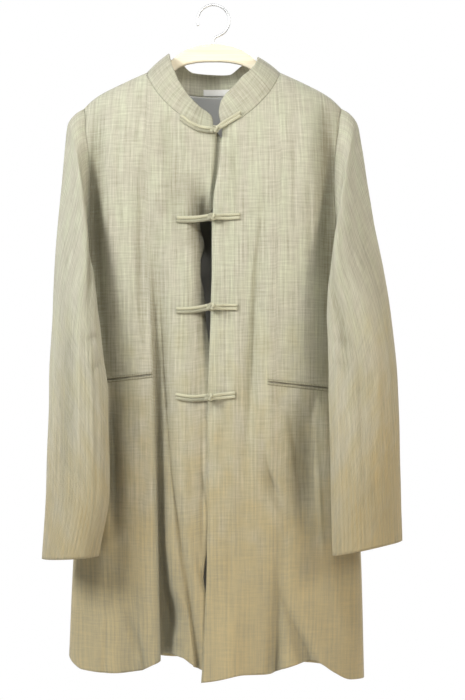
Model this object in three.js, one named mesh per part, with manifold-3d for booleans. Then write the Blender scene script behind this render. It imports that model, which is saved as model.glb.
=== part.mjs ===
// A long coat with a mandarin collar, closed by four frogs, hanging on a wooden hanger.
// Millimetres, +Z up. The coat faces -Y and the wearer's left is +X.
// The origin is the inside top of the hook, where the hanger sits on its rail.
import * as THREE from "three";
import { mergeVertices } from "three/addons/utils/BufferGeometryUtils.js";
import Module from "manifold-3d";

// ---- driving dimensions ----
const SHELL = 2.0; // wall of the coat cloth
const LINING = 1.0; // wall of the lining
const SEAM = 0.3; // gap left at every seam
const CLEAR = 0.9; // gap between a panel and what is sewn on its face
const NECK_HALF = 104; // half the width of the neckline, at the shoulder seams
const NECK_SIDE_Z = -104; // where the neckline meets the shoulder seams
const NECK_FRONT_DROP = 94; // fall of the neckline to the centre front
const NECK_BACK_DROP = 35; // fall of the neckline to the centre back
const NECK_ROUND = 1.5; // 2 is an ellipse, 1 is a straight V
const SHOULDER_ROLL = 130; // height over which the shoulders round over
const SHOULDER_TIP = 200; // half the shoulder width
const ARM_TOP_Z = -161; // shoulder tip
const ARM_LOW_Z = -385; // underarm
const ARM_SWEEP = 25; // degrees that the armhole cuts into the panel
const COLLAR_LAYER = 2.4; // wall of the stiffened collar
const CORD_R = 2.2; // frog cord
const CORD_GAP = 5.4; // between the two cords of a frog
const KNOT_R = 6;
const KNOT_LIFT = 9.4; // knot's centre above the cloth
const JET = { height: 4.2, thick: 1.4, slit: 1.4 }; // the two strips of a pocket
const HANGER = { thick: 11, bevel: 3 };
const HOOK = { wire: 2, crook: 25 };

// ---- mesh counts ----
const NECK_COLS = 8; // front neckline, each side
const BACK_NECK_COLS = 8; // back neckline
const NECK_EVEN = 0.7; // how evenly the neck's columns are spread
const SHOULDER_COLS = 8; // shoulder seam
const ARM_ROWS = 9; // armhole, front or back half
const SKIRT_ROWS = 17; // underarm to hem
const SLEEVE_ROWS = 21;
const EDGE_HOLD = 5; // how quickly the columns leave a wavering front edge
const PLEAT_COL = 7; // the right front's column that runs down its pleat
const NECK_EDGE_Z = -190; // where the front edges begin
const HEM_LEVEL = -1035; // where the hem's places are read

const DEG = Math.PI / 180;
const { lerp, clamp, smoothstep } = THREE.MathUtils;
const V = (x, y, z) => new THREE.Vector3(x, y, z);
const UP = V(0, 0, 1);
const BACKWARD = V(0, 1, 0);

// ---- tables ----
const table = (columns, rows) =>
  rows.map((row) => Object.fromEntries(columns.map((name, i) => [name, row[i]])));

// A smooth line through one column of a table, without overshoot.
function line(rows, key, name) {
  const t = rows.map((row) => row[key]);
  const v = rows.map((row) => row[name]);
  const slope = v.slice(1).map((value, i) => (value - v[i]) / (t[i + 1] - t[i]));
  const tangent = v.map((_, i) => {
    if (i === 0) return slope[0];
    if (i === v.length - 1) return slope[i - 1];
    const [a, b] = [slope[i - 1], slope[i]];
    return a * b <= 0 ? 0 : (2 * a * b) / (a + b);
  });
  const rising = t[t.length - 1] > t[0];
  return (at) => {
    let i = 0;
    while (i < t.length - 2 && (rising ? at > t[i + 1] : at < t[i + 1])) i++;
    const h = t[i + 1] - t[i];
    const s = clamp((at - t[i]) / h, 0, 1);
    const s2 = s * s;
    const s3 = s2 * s;
    return (
      (2 * s3 - 3 * s2 + 1) * v[i] +
      (s3 - 2 * s2 + s) * h * tangent[i] +
      (3 * s2 - 2 * s3) * v[i + 1] +
      (s3 - s2) * h * tangent[i + 1]
    );
  };
}
const lines = (rows, key) =>
  Object.fromEntries(
    Object.keys(rows[0])
      .filter((name) => name !== key)
      .map((name) => [name, line(rows, key, name)]),
  );

// The body's level sections: half widths, where the side seams lie, and how deep the front and back are.
const BODY = lines(
  table(["z", "right", "left", "side", "front", "back", "box"], [
    [-60, 200, 198, 0, 52, 46, 0.7],
    [-165, 203, 201, 0, 54, 50, 0.7],
    [-200, 210, 206, 0, 57, 51, 0.7],
    [-280, 212, 208, 0, 61, 52, 0.7],
    [-340, 206, 204, 2, 63, 50, 0.6],
    [-385, 198, 196, 4, 64, 48, 0.55],
    [-450, 194, 191, 7, 67, 47, 0.45],
    [-550, 192, 192, 11, 70, 45, 0.3],
    [-700, 205, 214, 18, 77, 42, 0.15],
    [-850, 220, 232, 24, 83, 40, 0.05],
    [-1060, 229.5, 238, 28, 90, 42, 0.05],
  ]),
  "z",
);

// The shoulder line, falling from the neck to the tip.
const SHOULDER = lines(
  table(["x", "z"], [
    [0, -57],
    [NECK_HALF, NECK_SIDE_Z],
    [144, -122.5],
    [180, -142],
    [200, ARM_TOP_Z],
    [240, -226],
  ]),
  "x",
).z;

// The front edges, from the neck to the hem. The left front lies on top.
const FRONT_EDGE = lines(
  table(["z", "left", "right"], [
    [-190, 14, -6],
    [-214, 13, 14],
    [-245, 11, 20],
    [-276, 5, 14],
    [-300, 1, 4],
    [-315, 0, -8],
    [-338, -2, -22],
    [-348, -2, -20],
    [-377, -2, -14],
    [-403, -2, -19],
    [-423, -2, -19],
    [-450, -3, -14],
    [-493, -4, -11],
    [-543, -6, -4],
    [-617, -8, 0],
    [-772, -8, 0],
    [-835, -9, -6],
    [-890, -10, -15],
    [-930, -12, -8],
    [-1004, -15, -6],
    [-1060, -19, -10],
  ]),
  "z",
);

// The hem's height across each panel.
const HEM = {
  right: lines(
    table(["x", "z"], [
      [-230, -1019],
      [-220, -1030],
      [-205, -1038],
      [-160, -1041],
      [-110, -1036],
      [-98, -1026],
      [-84, -1014],
      [-68, -1012],
      [-48, -1015],
      [-34, -1026],
      [-8, -1038],
    ]),
    "x",
  ).z,
  left: lines(
    table(["x", "z"], [
      [-20, -1060],
      [26, -1051],
      [65, -1041],
      [96, -1041],
      [112, -1034],
      [158, -1022],
      [172, -1029],
      [189, -1041],
      [215, -1054],
      [238, -1055],
    ]),
    "x",
  ).z,
  back: lines(
    table(["x", "z"], [
      [-230, -1019],
      [-150, -1024],
      [0, -1026],
      [150, -1034],
      [238, -1055],
    ]),
    "x",
  ).z,
};

// Folds. Each is a trough, or a ridge where its depth is negative, along a line through three
// stations of height z, place x and depth d. "in" and "out" are the widths of its two sides,
// towards -X and towards +X.
const FOLD_COLUMNS = ["face", "in", "out", "z1", "x1", "d1", "z2", "x2", "d2", "z3", "x3", "d3"];
const FOLDS = table(FOLD_COLUMNS, [
  // right front: the deep pleat beside the pocket, the roll next to it and the soft lines above
  ["right", 17, 18, -330, -98, 0, -640, -89, 20, -1040, -80, 34],
  ["right", 8, 10, -300, -84, 2, -690, -65, 8, -1030, -28, 9],
  ["right", 16, 18, -210, -70, 5, -300, -58, 6, -400, -50, 0],
  ["right", 12, 14, -280, -108, 4, -440, -110, 6, -560, -106, 0],
  ["right", 20, 14, -262, -30, 0, -334, -14, 15, -350, -16, 0],
  ["right", 12, 14, -345, -12, 6, -420, -10, 12, -520, -4, 0],
  ["right", 26, 26, -880, -128, 0, -980, -122, 7, -1040, -118, 12],
  ["right", 30, 20, -600, -140, 0, -760, -132, -6, -900, -140, 0],
  // left front: the long line under the collar, the slanting creases and the two folds at the hem
  ["left", 7, 12, -300, 80, 2, -560, 60, 7, -740, 52, 0],
  ["left", 9, 12, -690, 78, 0, -750, 92, 7, -800, 112, 0],
  ["left", 10, 14, -790, 108, 0, -920, 101, 6, -1045, 95, 16],
  ["left", 12, 14, -900, 102, 0, -960, 122, 7, -1030, 150, 16],
  ["left", 9, 14, -200, 40, 0, -250, 36, 4, -330, 48, 0],
  ["left", 24, 26, -600, 140, 0, -720, 146, 12, -850, 150, 0],
  ["left", 22, 24, -880, 30, 0, -980, 26, -6, -1060, 24, -10],
  // hollows beside the armholes
  ["right", 16, 14, -150, -176, 0, -260, -178, 12, -400, -174, 0],
  ["left", 14, 16, -140, 172, 0, -240, 172, 12, -420, 168, 0],
  // back: long soft folds falling from the shoulder blades
  ["back", 30, 34, -260, -112, 0, -620, -120, -12, -1050, -130, -16],
  ["back", 32, 30, -300, -48, 0, -700, -52, -9, -1050, -60, -15],
  ["back", 30, 34, -280, 40, 0, -660, 44, -11, -1050, 50, -14],
  ["back", 34, 30, -240, 116, 0, -600, 124, -12, -1050, 136, -17],
]).map((fold) => {
  const stations = table(["z", "x", "d"], [1, 2, 3].map((k) => [fold["z" + k], fold["x" + k], fold["d" + k]]));
  return { ...fold, ...lines(stations, "z"), top: fold.z1, low: fold.z3 };
});
const FOLD_FADE = 45; // beyond its last station a fold dies out over this height
const HEM_BAND = -985; // folds whose last station is below this run on to the hem

const foldDepth = (fold, z) => {
  const above = smoothstep(fold.top + FOLD_FADE - z, 0, FOLD_FADE);
  const below = fold.low < HEM_BAND ? 1 : smoothstep(z - fold.low + FOLD_FADE, 0, FOLD_FADE);
  return fold.d(z) * above * below;
};

// How far the folds push the cloth back, at one place of a panel.
const foldAt = (face, x, z) =>
  FOLDS.filter((fold) => fold.face === face).reduce((sum, fold) => {
    const off = x - fold.x(z);
    return sum + foldDepth(fold, z) * Math.exp(-((off / (off < 0 ? fold.in : fold.out)) ** 2));
  }, 0);

// ---- the body's surface ----
const roll = (x, z) => {
  const down = clamp((SHOULDER(Math.abs(x)) - z) / SHOULDER_ROLL, 0, 1);
  return Math.sqrt(1 - (1 - down) ** 2);
};
const halfWidth = (x, z) => (x < 0 ? BODY.right(z) : BODY.left(z));
const UNDERLAP = { depth: 4.6, from: -46, to: -8 }; // the right front dips under the left one

// A point of the shell's outer face. angle is 0 at the centre and 90 degrees at the side seams.
function bodyPoint(face, angle, z) {
  const s = Math.sin(angle);
  const c = Math.cos(angle);
  const x = s * halfWidth(s, z);
  const front = face !== "back";
  const deep = (front ? -BODY.front(z) : BODY.back(z)) * c * (1 + BODY.box(z) * s * s);
  const held = Math.min(1, 3 * Math.max(c, 0)); // folds end at the side seams
  const under = face === "right" ? UNDERLAP.depth * smoothstep(x, UNDERLAP.from, UNDERLAP.to) : 0;
  const bend = foldAt(face, x, z) * held + under;
  return V(x, BODY.side(z) + (deep + bend) * roll(x, z), z);
}
const angleAt = (x, z) => Math.asin(clamp(x / halfWidth(x, z), -1, 1));

const neckFront = (x) =>
  NECK_SIDE_Z -
  NECK_FRONT_DROP * Math.pow(1 - Math.pow(Math.min(Math.abs(x) / NECK_HALF, 1), NECK_ROUND), 1 / NECK_ROUND);
const neckBack = (x) => NECK_SIDE_Z - NECK_BACK_DROP * Math.sqrt(1 - Math.min(Math.abs(x) / NECK_HALF, 1) ** 2);
const topLine = (face, x) =>
  Math.abs(x) >= NECK_HALF - 1e-6 ? SHOULDER(Math.abs(x)) : face === "back" ? neckBack(x) : neckFront(x);

// The armhole's edge: the angle at which a panel stops, 90 degrees at the tip and the underarm.
function armAngle(z) {
  const half = (ARM_TOP_Z - ARM_LOW_Z) / 2;
  const q = clamp((z - (ARM_TOP_Z + ARM_LOW_Z) / 2) / half, -1, 1);
  return (90 - ARM_SWEEP * Math.sqrt(1 - q * q)) * DEG;
}
const sideAngle = (z) => (z <= ARM_LOW_Z || z >= ARM_TOP_Z ? 90 * DEG : armAngle(z));

// Columns crowd towards the deep pleat as it opens.
function drawIn(face, x, z) {
  const pleat = FOLDS[0];
  if (face !== pleat.face) return x;
  const pull = clamp(foldDepth(pleat, z) / 38, 0, 1) * 0.5;
  const off = x - pleat.x(z);
  return x - pull * off * Math.exp(-((off / 42) ** 2));
}

// ---- grids: grid[i][j], i across the cloth and j down it ----
const span = (count, from, to) => Array.from({ length: count + 1 }, (_, k) => lerp(from, to, k / count));
const upTo = (count) => Array.from({ length: count }, (_, k) => k);
const shoulderAngles = span(SHOULDER_COLS, Math.asin(NECK_HALF / BODY.left(NECK_SIDE_Z)), 90 * DEG);
const shoulderXs = shoulderAngles.map((a) =>
  lerp(NECK_HALF, SHOULDER_TIP, (a - shoulderAngles[0]) / (90 * DEG - shoulderAngles[0])),
);
const armShares = span(ARM_ROWS, 0, 1).map((s) => lerp(s, (1 - Math.cos(Math.PI * s)) / 2, 0.55));
const skirtShares = span(SKIRT_ROWS, 0, 1).map((s) => Math.pow(s, 0.94));

// The share of a column, moved so that the pleat's column runs down the pleat.
function followPleat(share, column, from, z) {
  const pleat = FOLDS[0];
  const aim = (Math.abs(angleAt(pleat.x(z), z)) - from) / (90 * DEG - from);
  const target = lerp(column, aim, smoothstep(-z, 250, 420));
  return share < column ? (share * target) / column : target + ((share - column) * (1 - target)) / (1 - column);
}

function panelGrid(face, topXs) {
  const last = topXs.length - 1;
  const back = face === "back";
  const sign = face === "right" ? -1 : 1;
  const edge = back ? () => 0 : (z) => sign * angleAt(FRONT_EDGE[face](z), z);
  const from = edge(NECK_EDGE_Z);
  const shares = topXs.map((x, i) => {
    const a = Math.abs(x) >= SHOULDER_TIP ? 90 * DEG : Math.abs(angleAt(x, topLine(face, x)));
    if (!back && i === 0) return 0;
    return ((back ? Math.sign(x) : 1) * (a - from)) / (90 * DEG - from);
  });
  const angleOf = (i, z, side) => {
    const share = face === "right" ? followPleat(shares[i], shares[PLEAT_COL], from, z) : shares[i];
    const cut = (90 * DEG - side) * share ** 3;
    const stray = (edge(z) - from) * (1 - share) ** EDGE_HOLD;
    return (from + share * (90 * DEG - from) + (back ? 0 : stray) - cut) * sign;
  };
  const bottom = topXs.map((_, i) => {
    const angle = angleOf(i, HEM_LEVEL, 90 * DEG);
    return HEM[face](Math.sin(angle) * halfWidth(angle, HEM_LEVEL));
  });
  return topXs.map((topX, i) =>
    upTo(ARM_ROWS + SKIRT_ROWS + 1).map((j) => {
      const onArm = j <= ARM_ROWS;
      const z = onArm
        ? lerp(topLine(face, topX), ARM_LOW_Z, armShares[j])
        : lerp(ARM_LOW_Z, bottom[i], skirtShares[j - ARM_ROWS]);
      const side = onArm ? sideAngle(lerp(ARM_TOP_Z, ARM_LOW_Z, armShares[j])) : 90 * DEG;
      const angle = angleOf(i, z, side);
      if (i === last || (back && i === 0)) return bodyPoint(face, angle, z);
      return bodyPoint(face, angleAt(drawIn(face, Math.sin(angle) * halfWidth(angle, z), z), z), z);
    }),
  );
}

// Outward normals of a grid. A seam on a fold of the body keeps the level direction BACKWARD in the cloth.
function gridNormals(grid, outward, seams = () => false, closed = false) {
  const n = grid.length;
  const at = (i) => grid[closed ? (i + n) % n : clamp(i, 0, n - 1)];
  return grid.map((column, i) =>
    column.map((point, j) => {
      const down = at(i)[Math.min(j + 1, column.length - 1)].clone().sub(at(i)[Math.max(j - 1, 0)]);
      const across = at(i + 1)[j].clone().sub(at(i - 1)[j]);
      const seam = seams(i, j);
      if (seam === "side") across.copy(BACKWARD);
      if (seam === "top") {
        const outer = Math.abs(at(i + 1)[j].x) > Math.abs(point.x);
        across.subVectors(outer ? at(i + 1)[j] : point, outer ? point : at(i - 1)[j]);
        down.copy(BACKWARD);
      }
      const normal = across.cross(down).normalize();
      return normal.dot(outward(point, i, j)) < 0 ? normal.negate() : normal;
    }),
  );
}

// A grid moved inwards along its normals.
const inside = (grid, normals, depth) =>
  grid.map((column, i) => column.map((p, j) => p.clone().addScaledVector(normals[i][j], -depth)));

// A closed wall between a grid and the same grid moved inwards along its normals.
function wall(grid, normals, thick, closed = false) {
  const [n, m] = [grid.length, grid[0].length];
  const points = [];
  for (const lift of [0, -thick])
    for (let i = 0; i < n; i++)
      for (let j = 0; j < m; j++) points.push(grid[i][j].clone().addScaledVector(normals[i][j], lift));
  const id = (layer, i, j) => layer * n * m + (i % n) * m + j;
  const faces = [];
  const quad = (a, b, c, d) => faces.push(a, b, c, a, c, d);
  const columns = closed ? n : n - 1;
  for (let i = 0; i < columns; i++)
    for (let j = 0; j < m - 1; j++) {
      quad(id(0, i, j), id(0, i, j + 1), id(0, i + 1, j + 1), id(0, i + 1, j));
      quad(id(1, i, j), id(1, i + 1, j), id(1, i + 1, j + 1), id(1, i, j + 1));
    }
  for (let i = 0; i < columns; i++) {
    quad(id(0, i, 0), id(0, i + 1, 0), id(1, i + 1, 0), id(1, i, 0));
    quad(id(0, i + 1, m - 1), id(0, i, m - 1), id(1, i, m - 1), id(1, i + 1, m - 1));
  }
  if (!closed)
    for (let j = 0; j < m - 1; j++) {
      quad(id(0, 0, j + 1), id(0, 0, j), id(1, 0, j), id(1, 0, j + 1));
      quad(id(0, n - 1, j), id(0, n - 1, j + 1), id(1, n - 1, j + 1), id(1, n - 1, j));
    }
  return solid(points, faces);
}

// A geometry of points and triangles, turned right side out.
function solid(points, faces) {
  let volume = 0;
  for (let k = 0; k < faces.length; k += 3) {
    const [a, b, c] = [0, 1, 2].map((step) => points[faces[k + step]]);
    volume += a.dot(V().crossVectors(b, c));
  }
  const index = [...faces];
  if (volume < 0) for (let k = 0; k < index.length; k += 3) [index[k], index[k + 1]] = [index[k + 1], index[k]];
  const geometry = new THREE.BufferGeometry();
  geometry.setAttribute("position", new THREE.Float32BufferAttribute(points.flatMap((p) => p.toArray()), 3));
  geometry.setIndex(index);
  geometry.computeVertexNormals();
  return geometry;
}

// ---- the cut pieces of the body ----
const lastRow = ARM_ROWS + SKIRT_ROWS;
const neckColumn = (turn, x) => lerp(NECK_HALF * Math.sin(turn), x, NECK_EVEN);
const frontXs = (face) => {
  const sign = face === "right" ? -1 : 1;
  const first = sign * FRONT_EDGE[face](NECK_EDGE_Z);
  const turn = Math.asin(first / NECK_HALF);
  const neck = span(NECK_COLS, 0, 1).map((s) => neckColumn(lerp(turn, 90 * DEG, s), lerp(first, NECK_HALF, s)));
  return [...neck, ...shoulderXs.slice(1)].map((x) => sign * x);
};
const backXs = () => {
  const neck = span(BACK_NECK_COLS, -1, 1).map((s) => neckColumn(s * 90 * DEG, s * NECK_HALF));
  const outer = shoulderXs.slice(1);
  return [...outer.map((x) => -x).reverse(), ...neck, ...outer];
};

function frontPanel(face) {
  const grid = panelGrid(face, frontXs(face));
  const last = grid.length - 1;
  const normals = gridNormals(
    grid,
    (p, i, j) => (i === last ? V(Math.sign(p.x), -0.2, 0.2) : j === 0 ? V(0, -1, 1) : V(0, -1, 0)),
    (i, j) => (i === last && j >= ARM_ROWS ? "side" : j === 0 && i >= NECK_COLS ? "top" : false),
  );
  const moved = grid.map((column) => column.map((p) => p.clone().add(V(0, -SEAM / 2, 0))));
  return { grid: moved, normals };
}
function backPanel() {
  const grid = panelGrid("back", backXs());
  const last = grid.length - 1;
  const neckFrom = SHOULDER_COLS;
  const neckTo = SHOULDER_COLS + BACK_NECK_COLS;
  const normals = gridNormals(
    grid,
    (p, i, j) => (i === 0 || i === last ? V(Math.sign(p.x), 0.2, 0.2) : j === 0 ? V(0, 1, 1) : V(0, 1, 0)),
    (i, j) => {
      if ((i === 0 || i === last) && j >= ARM_ROWS) return "side";
      return j === 0 && (i <= neckFrom || i >= neckTo) ? "top" : false;
    },
  );
  const moved = grid.map((column) => column.map((p) => p.clone().add(V(0, SEAM / 2, 0))));
  return { grid: moved, normals };
}

// ---- the collar: from the neckline up to its top edge ----
// "at" goes from 0 at its left end, round the back at 2, to 4 at its right end.
const COLLAR = lines(
  table(["at", "inward", "up", "tilt"], [
    [0, 8, 31, 13],
    [0.33, 27, 37, 9],
    [0.6, 30, 39, 6],
    [0.8, 31, 34, 4],
    [1, 34, 25, 0],
    [1.25, 22, 27, 5],
    [1.5, 13, 43, 6],
    [1.75, 5, 34, 2],
    [2, 0, 36, -4],
    [2.25, -2, 37, 1],
    [2.5, 9, 45, 6],
    [2.75, 22, 31, 5],
    [3, 34, 30, 0],
    [3.2, 28, 33, 4],
    [3.4, 22, 29, 6],
    [3.67, 15, 26, 9],
    [4, -2, 27, 13],
  ]),
  "at",
);
const NECK_MIDDLE = V(0, 0, -70);
const COLLAR_ROWS = 3;
const COLLAR_BULGE = 2.2;

function collar(left, back, right) {
  const backFrom = SHOULDER_COLS;
  const rim = [];
  const add = (panel, i, at) => rim.push({ at, panel, i, p: panel.grid[i][0], n: panel.normals[i][0] });
  for (let i = 0; i <= NECK_COLS; i++) add(left, i, i / NECK_COLS);
  for (let i = BACK_NECK_COLS - 1; i > 0; i--) add(back, backFrom + i, 3 - (2 * i) / BACK_NECK_COLS);
  for (let i = NECK_COLS; i >= 0; i--) add(right, i, 4 - i / NECK_COLS);
  const grid = rim.map(({ at, panel, i, p, n }, k) => {
    const [sideways, inwards] = panel === back ? [-Math.sign(p.x), -1] : [panel === left ? -1 : 1, 1];
    const along = rim[Math.min(k + 1, rim.length - 1)].p.clone().sub(rim[Math.max(k - 1, 0)].p);
    const off = along.cross(n).normalize();
    if (off.dot(V().subVectors(NECK_MIDDLE, p)) < 0) off.negate();
    const foot = p.clone().addScaledVector(off, SEAM + 0.35);
    if (i === NECK_COLS && panel !== back) foot.y = 0;
    const end = k === 0 || k === rim.length - 1;
    const lean = V(sideways * COLLAR.inward(at), inwards * COLLAR.tilt(at), COLLAR.up(at));
    return span(COLLAR_ROWS, 0, 1).map((s) => {
      const point = foot.clone().addScaledVector(lean, s * (end ? 0.86 : 1));
      const swell = COLLAR_BULGE * Math.sin(Math.PI * s);
      return point.add(V(-sideways * swell * Math.sin((Math.PI * at) / 2) ** 2, -inwards * swell, 0));
    });
  });
  const normals = gridNormals(grid, (p) => V(p.x, p.y, 20));
  rim.forEach(({ n }, k) => (normals[k][0] = n.clone()));
  return { grid, normals };
}

// ---- sleeves: rings from the armhole to the cuff ----
// out and in are the ends of each ring seen from the front, mid and deep its middle and half depth,
// slant how far it turns with the body's side, and lap how far its front swells over the chest.
const SLEEVE_COLUMNS = ["at", "outX", "outZ", "inX", "inZ", "mid", "deep", "slant", "lap"];
const SLEEVE = {
  left: lines(
    table(SLEEVE_COLUMNS, [
      [0, 200, -161, 196, -385, 2, 38, 0, 0],
      [1, 212, -168, 199, -390, -2, 40, 0.15, 4],
      [2, 226, -187, 199, -396, -8, 44, 0.3, 12],
      [3, 232, -220, 198, -406, -14, 48, 0.45, 20],
      [4.5, 241, -280, 192, -424, -24, 52, 0.55, 24],
      [6, 251, -338, 185, -446, -33, 53, 0.62, 24],
      [8, 267, -420, 177, -492, -43, 51, 0.55, 12],
      [10, 278, -492, 177, -542, -50, 49, 0.5, 4],
      [12, 286, -572, 177, -600, -56, 46, 0.45, 0],
      [14, 289, -655, 179, -668, -60, 43, 0.4, 0],
      [16, 291, -750, 181, -758, -61, 41, 0.35, 0],
      [18, 293, -834, 184, -855, -61, 40, 0.3, 0],
    ]),
    "at",
  ),
  right: lines(
    table(SLEEVE_COLUMNS, [
      [0, -202, -161, -198, -385, 2, 38, 0, 0],
      [1, -214, -168, -200, -390, -2, 40, 0.15, 4],
      [2, -228, -187, -200, -396, -8, 44, 0.3, 12],
      [3, -232, -220, -199, -406, -14, 48, 0.45, 18],
      [4.5, -237, -280, -193, -424, -24, 53, 0.55, 20],
      [6, -242, -338, -187, -446, -33, 55, 0.62, 18],
      [8, -248, -420, -176, -492, -43, 54, 0.55, 8],
      [10, -251, -492, -169, -542, -50, 52, 0.5, 2],
      [12, -254, -572, -162, -600, -56, 50, 0.45, 0],
      [14, -256, -655, -160, -668, -60, 48, 0.4, 0],
      [16, -259, -750, -159, -758, -61, 47, 0.35, 0],
      [18, -265, -862, -176, -856, -61, 46, 0.3, 0],
    ]),
    "at",
  ),
};
const SLEEVE_END = 18;
const SEAM_BLEND = 3.2; // stations over which the armhole's true edge dies into the rings

// Folds of the sleeves: troughs along the tube at a turn of degrees from the outer edge.
const SLEEVE_FOLDS = {
  left: table(["turn", "wide", "from", "to", "depth"], [
    [120, 14, 4, 12, 5],
    [62, 18, 7, 17, -4],
    [250, 20, 5, 15, 7],
    [205, 16, 8, 17, 5],
  ]),
  right: table(["turn", "wide", "from", "to", "depth"], [
    [118, 15, 0.5, 9, 9],
    [70, 18, 8, 17, 4],
    [250, 20, 5, 15, 7],
    [300, 16, 7, 16, 5],
  ]),
};
const sleeveFold = (face, turn, at) =>
  SLEEVE_FOLDS[face].reduce((sum, fold) => {
    const off = (((turn - fold.turn + 540) % 360) - 180) / fold.wide;
    const along = clamp((at - fold.from) / (fold.to - fold.from), 0, 1);
    return sum + fold.depth * Math.exp(-off * off) * Math.sin(Math.PI * along);
  }, 0);

function sleevePoint(face, turn, at) {
  const row = SLEEVE[face];
  const [c, s] = [Math.cos(turn * DEG), Math.sin(turn * DEG)];
  const sign = face === "left" ? 1 : -1;
  const outer = V(row.outX(at), 0, row.outZ(at));
  const inner = V(row.inX(at), 0, row.inZ(at));
  const p = outer.clone().add(inner).multiplyScalar(0.5).addScaledVector(outer.clone().sub(inner), c / 2);
  const reach = Math.abs(outer.x - inner.x) / 2;
  p.y = row.mid(at) - s * row.deep(at) + row.slant(at) * c * reach;
  p.x -= sign * row.lap(at) * Math.max(s, 0);
  const fold = sleeveFold(face, turn, at);
  return p.add(V(-sign * c * fold, s * fold, 0));
}

function sleeve(face, front, back) {
  const sign = face === "left" ? 1 : -1;
  const backColumn = face === "left" ? back.grid.length - 1 : 0;
  const edge = [];
  const add = (panel, i, j, turn) => {
    const inward = i === 0 ? 1 : i - 1;
    const away = panel.grid[i][j].clone().sub(panel.grid[inward][j]).normalize();
    edge.push({ turn, p: panel.grid[i][j].clone().addScaledVector(away, SEAM + 0.1), n: panel.normals[i][j] });
  };
  const frontColumn = front.grid.length - 1;
  for (let j = 0; j < ARM_ROWS; j++) add(front, frontColumn, j, (180 * j) / ARM_ROWS);
  for (let j = ARM_ROWS; j > 0; j--) add(back, backColumn, j, 360 - (180 * j) / ARM_ROWS);
  const ats = span(SLEEVE_ROWS, 0, 1).map((s) => SLEEVE_END * Math.pow(s, 1.12));
  const grid = edge.map(({ turn, p }) => {
    const stray = p.clone().sub(sleevePoint(face, turn, 0));
    return ats.map((at) => {
      const keep = clamp(1 - at / SEAM_BLEND, 0, 1);
      return sleevePoint(face, turn, at).addScaledVector(stray, keep * keep);
    });
  });
  const middle = ats.map((_, j) => grid.reduce((sum, column) => sum.add(column[j]), V()).divideScalar(grid.length));
  const normals = gridNormals(grid, (p, i, j) => p.clone().sub(middle[j]), () => false, true);
  edge.forEach(({ n }, i) => {
    normals[i][0] = n.clone().add(V(sign * 0.2, 0, 0)).normalize();
  });
  return wall(grid, normals, SHELL, true);
}

// ---- what lies on the fronts ----
// The height of a faceted panel's face at (x, z): its y there, or null beside it.
function faceAt(grid, x, z) {
  for (let i = 0; i < grid.length - 1; i++)
    for (let j = 0; j < grid[0].length - 1; j++) {
      const [a, b, c, d] = [grid[i][j], grid[i][j + 1], grid[i + 1][j + 1], grid[i + 1][j]];
      for (const [p, q, r] of [[a, b, c], [a, c, d]]) {
        const det = (q.z - r.z) * (p.x - r.x) + (r.x - q.x) * (p.z - r.z);
        const l1 = ((q.z - r.z) * (x - r.x) + (r.x - q.x) * (z - r.z)) / det;
        const l2 = ((r.z - p.z) * (x - r.x) + (p.x - r.x) * (z - r.z)) / det;
        if (l1 >= -1e-6 && l2 >= -1e-6 && l1 + l2 <= 1 + 1e-6) return l1 * p.y + l2 * q.y + (1 - l1 - l2) * r.y;
      }
    }
  return null;
}

// The faces of a bar of four-sided sections.
function strip(steps) {
  const faces = [];
  const quad = (a, b, c, d) => faces.push(a, b, c, a, c, d);
  for (let k = 0; k < steps; k++)
    for (let e = 0; e < 4; e++) {
      const f = (e + 1) % 4;
      quad(4 * k + e, 4 * k + f, 4 * k + 4 + f, 4 * k + 4 + e);
    }
  const last = 4 * steps;
  quad(3, 2, 1, 0);
  quad(last, last + 1, last + 2, last + 3);
  return faces;
}

// A pocket's strip, from its inner end to its outer end, lying on the panel.
const POCKET = {
  left: { from: [83, -586], to: [182, -604] },
  right: { from: [-94, -580], to: [-172, -591] },
  steps: 22,
};
function jet(panel, { from, to }, offset) {
  const points = span(POCKET.steps, 0, 1).flatMap((s) => {
    const x = lerp(from[0], to[0], s);
    const middle = lerp(from[1], to[1], s) + offset;
    const [low, high] = [middle - JET.height / 2, middle + JET.height / 2];
    const [lowY, highY] = [low, high].map((z) => faceAt(panel.grid, x, z) - CLEAR);
    return [V(x, lowY - JET.thick, low), V(x, highY - JET.thick, high), V(x, highY, high), V(x, lowY, low)];
  });
  return solid(points, strip(POCKET.steps));
}

// ---- frogs ----
// knot is where the knot sits; loop and tail are the ends of its two halves.
const FROGS = table(["z", "x", "loopX", "loopZ", "tailX", "tailZ", "sag"], [
  [-198, 2, -50, -179, 44, -172, 10],
  [-336, -3, -56, -335, 45, -330, 1],
  [-472, -2, -56, -476, 40, -471, 3],
  [-612, -7, -59, -608, 36, -606, 3],
]);
const CORD_SIDES = 6;

// A round cord along a smooth path.
function cord(points, steps) {
  const path = new THREE.CatmullRomCurve3(points, false, "centripetal");
  const ring = new THREE.Shape(
    upTo(CORD_SIDES).map((k) => {
      const a = (k / CORD_SIDES) * 360 * DEG;
      return new THREE.Vector2(CORD_R * Math.cos(a), CORD_R * Math.sin(a));
    }),
  );
  return new THREE.ExtrudeGeometry(ring, { steps, extrudePath: path, bevelEnabled: false });
}

// The nearest cloth to the viewer at (x, z), bridging the gap between the fronts.
function frontFace(left, right, extra, x, z) {
  const found = [left.grid, right.grid, extra.grid].map((grid) => faceAt(grid, x, z)).filter((y) => y !== null);
  const plain = BODY.side(z) - BODY.front(z) * roll(x, z) + 4;
  return Math.min(plain, ...found);
}

const knotLevel = (face, frog) => Math.min(...[-6, -2, 2, 6, 9].map((step) => face(frog.x + step, frog.z)));

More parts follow.
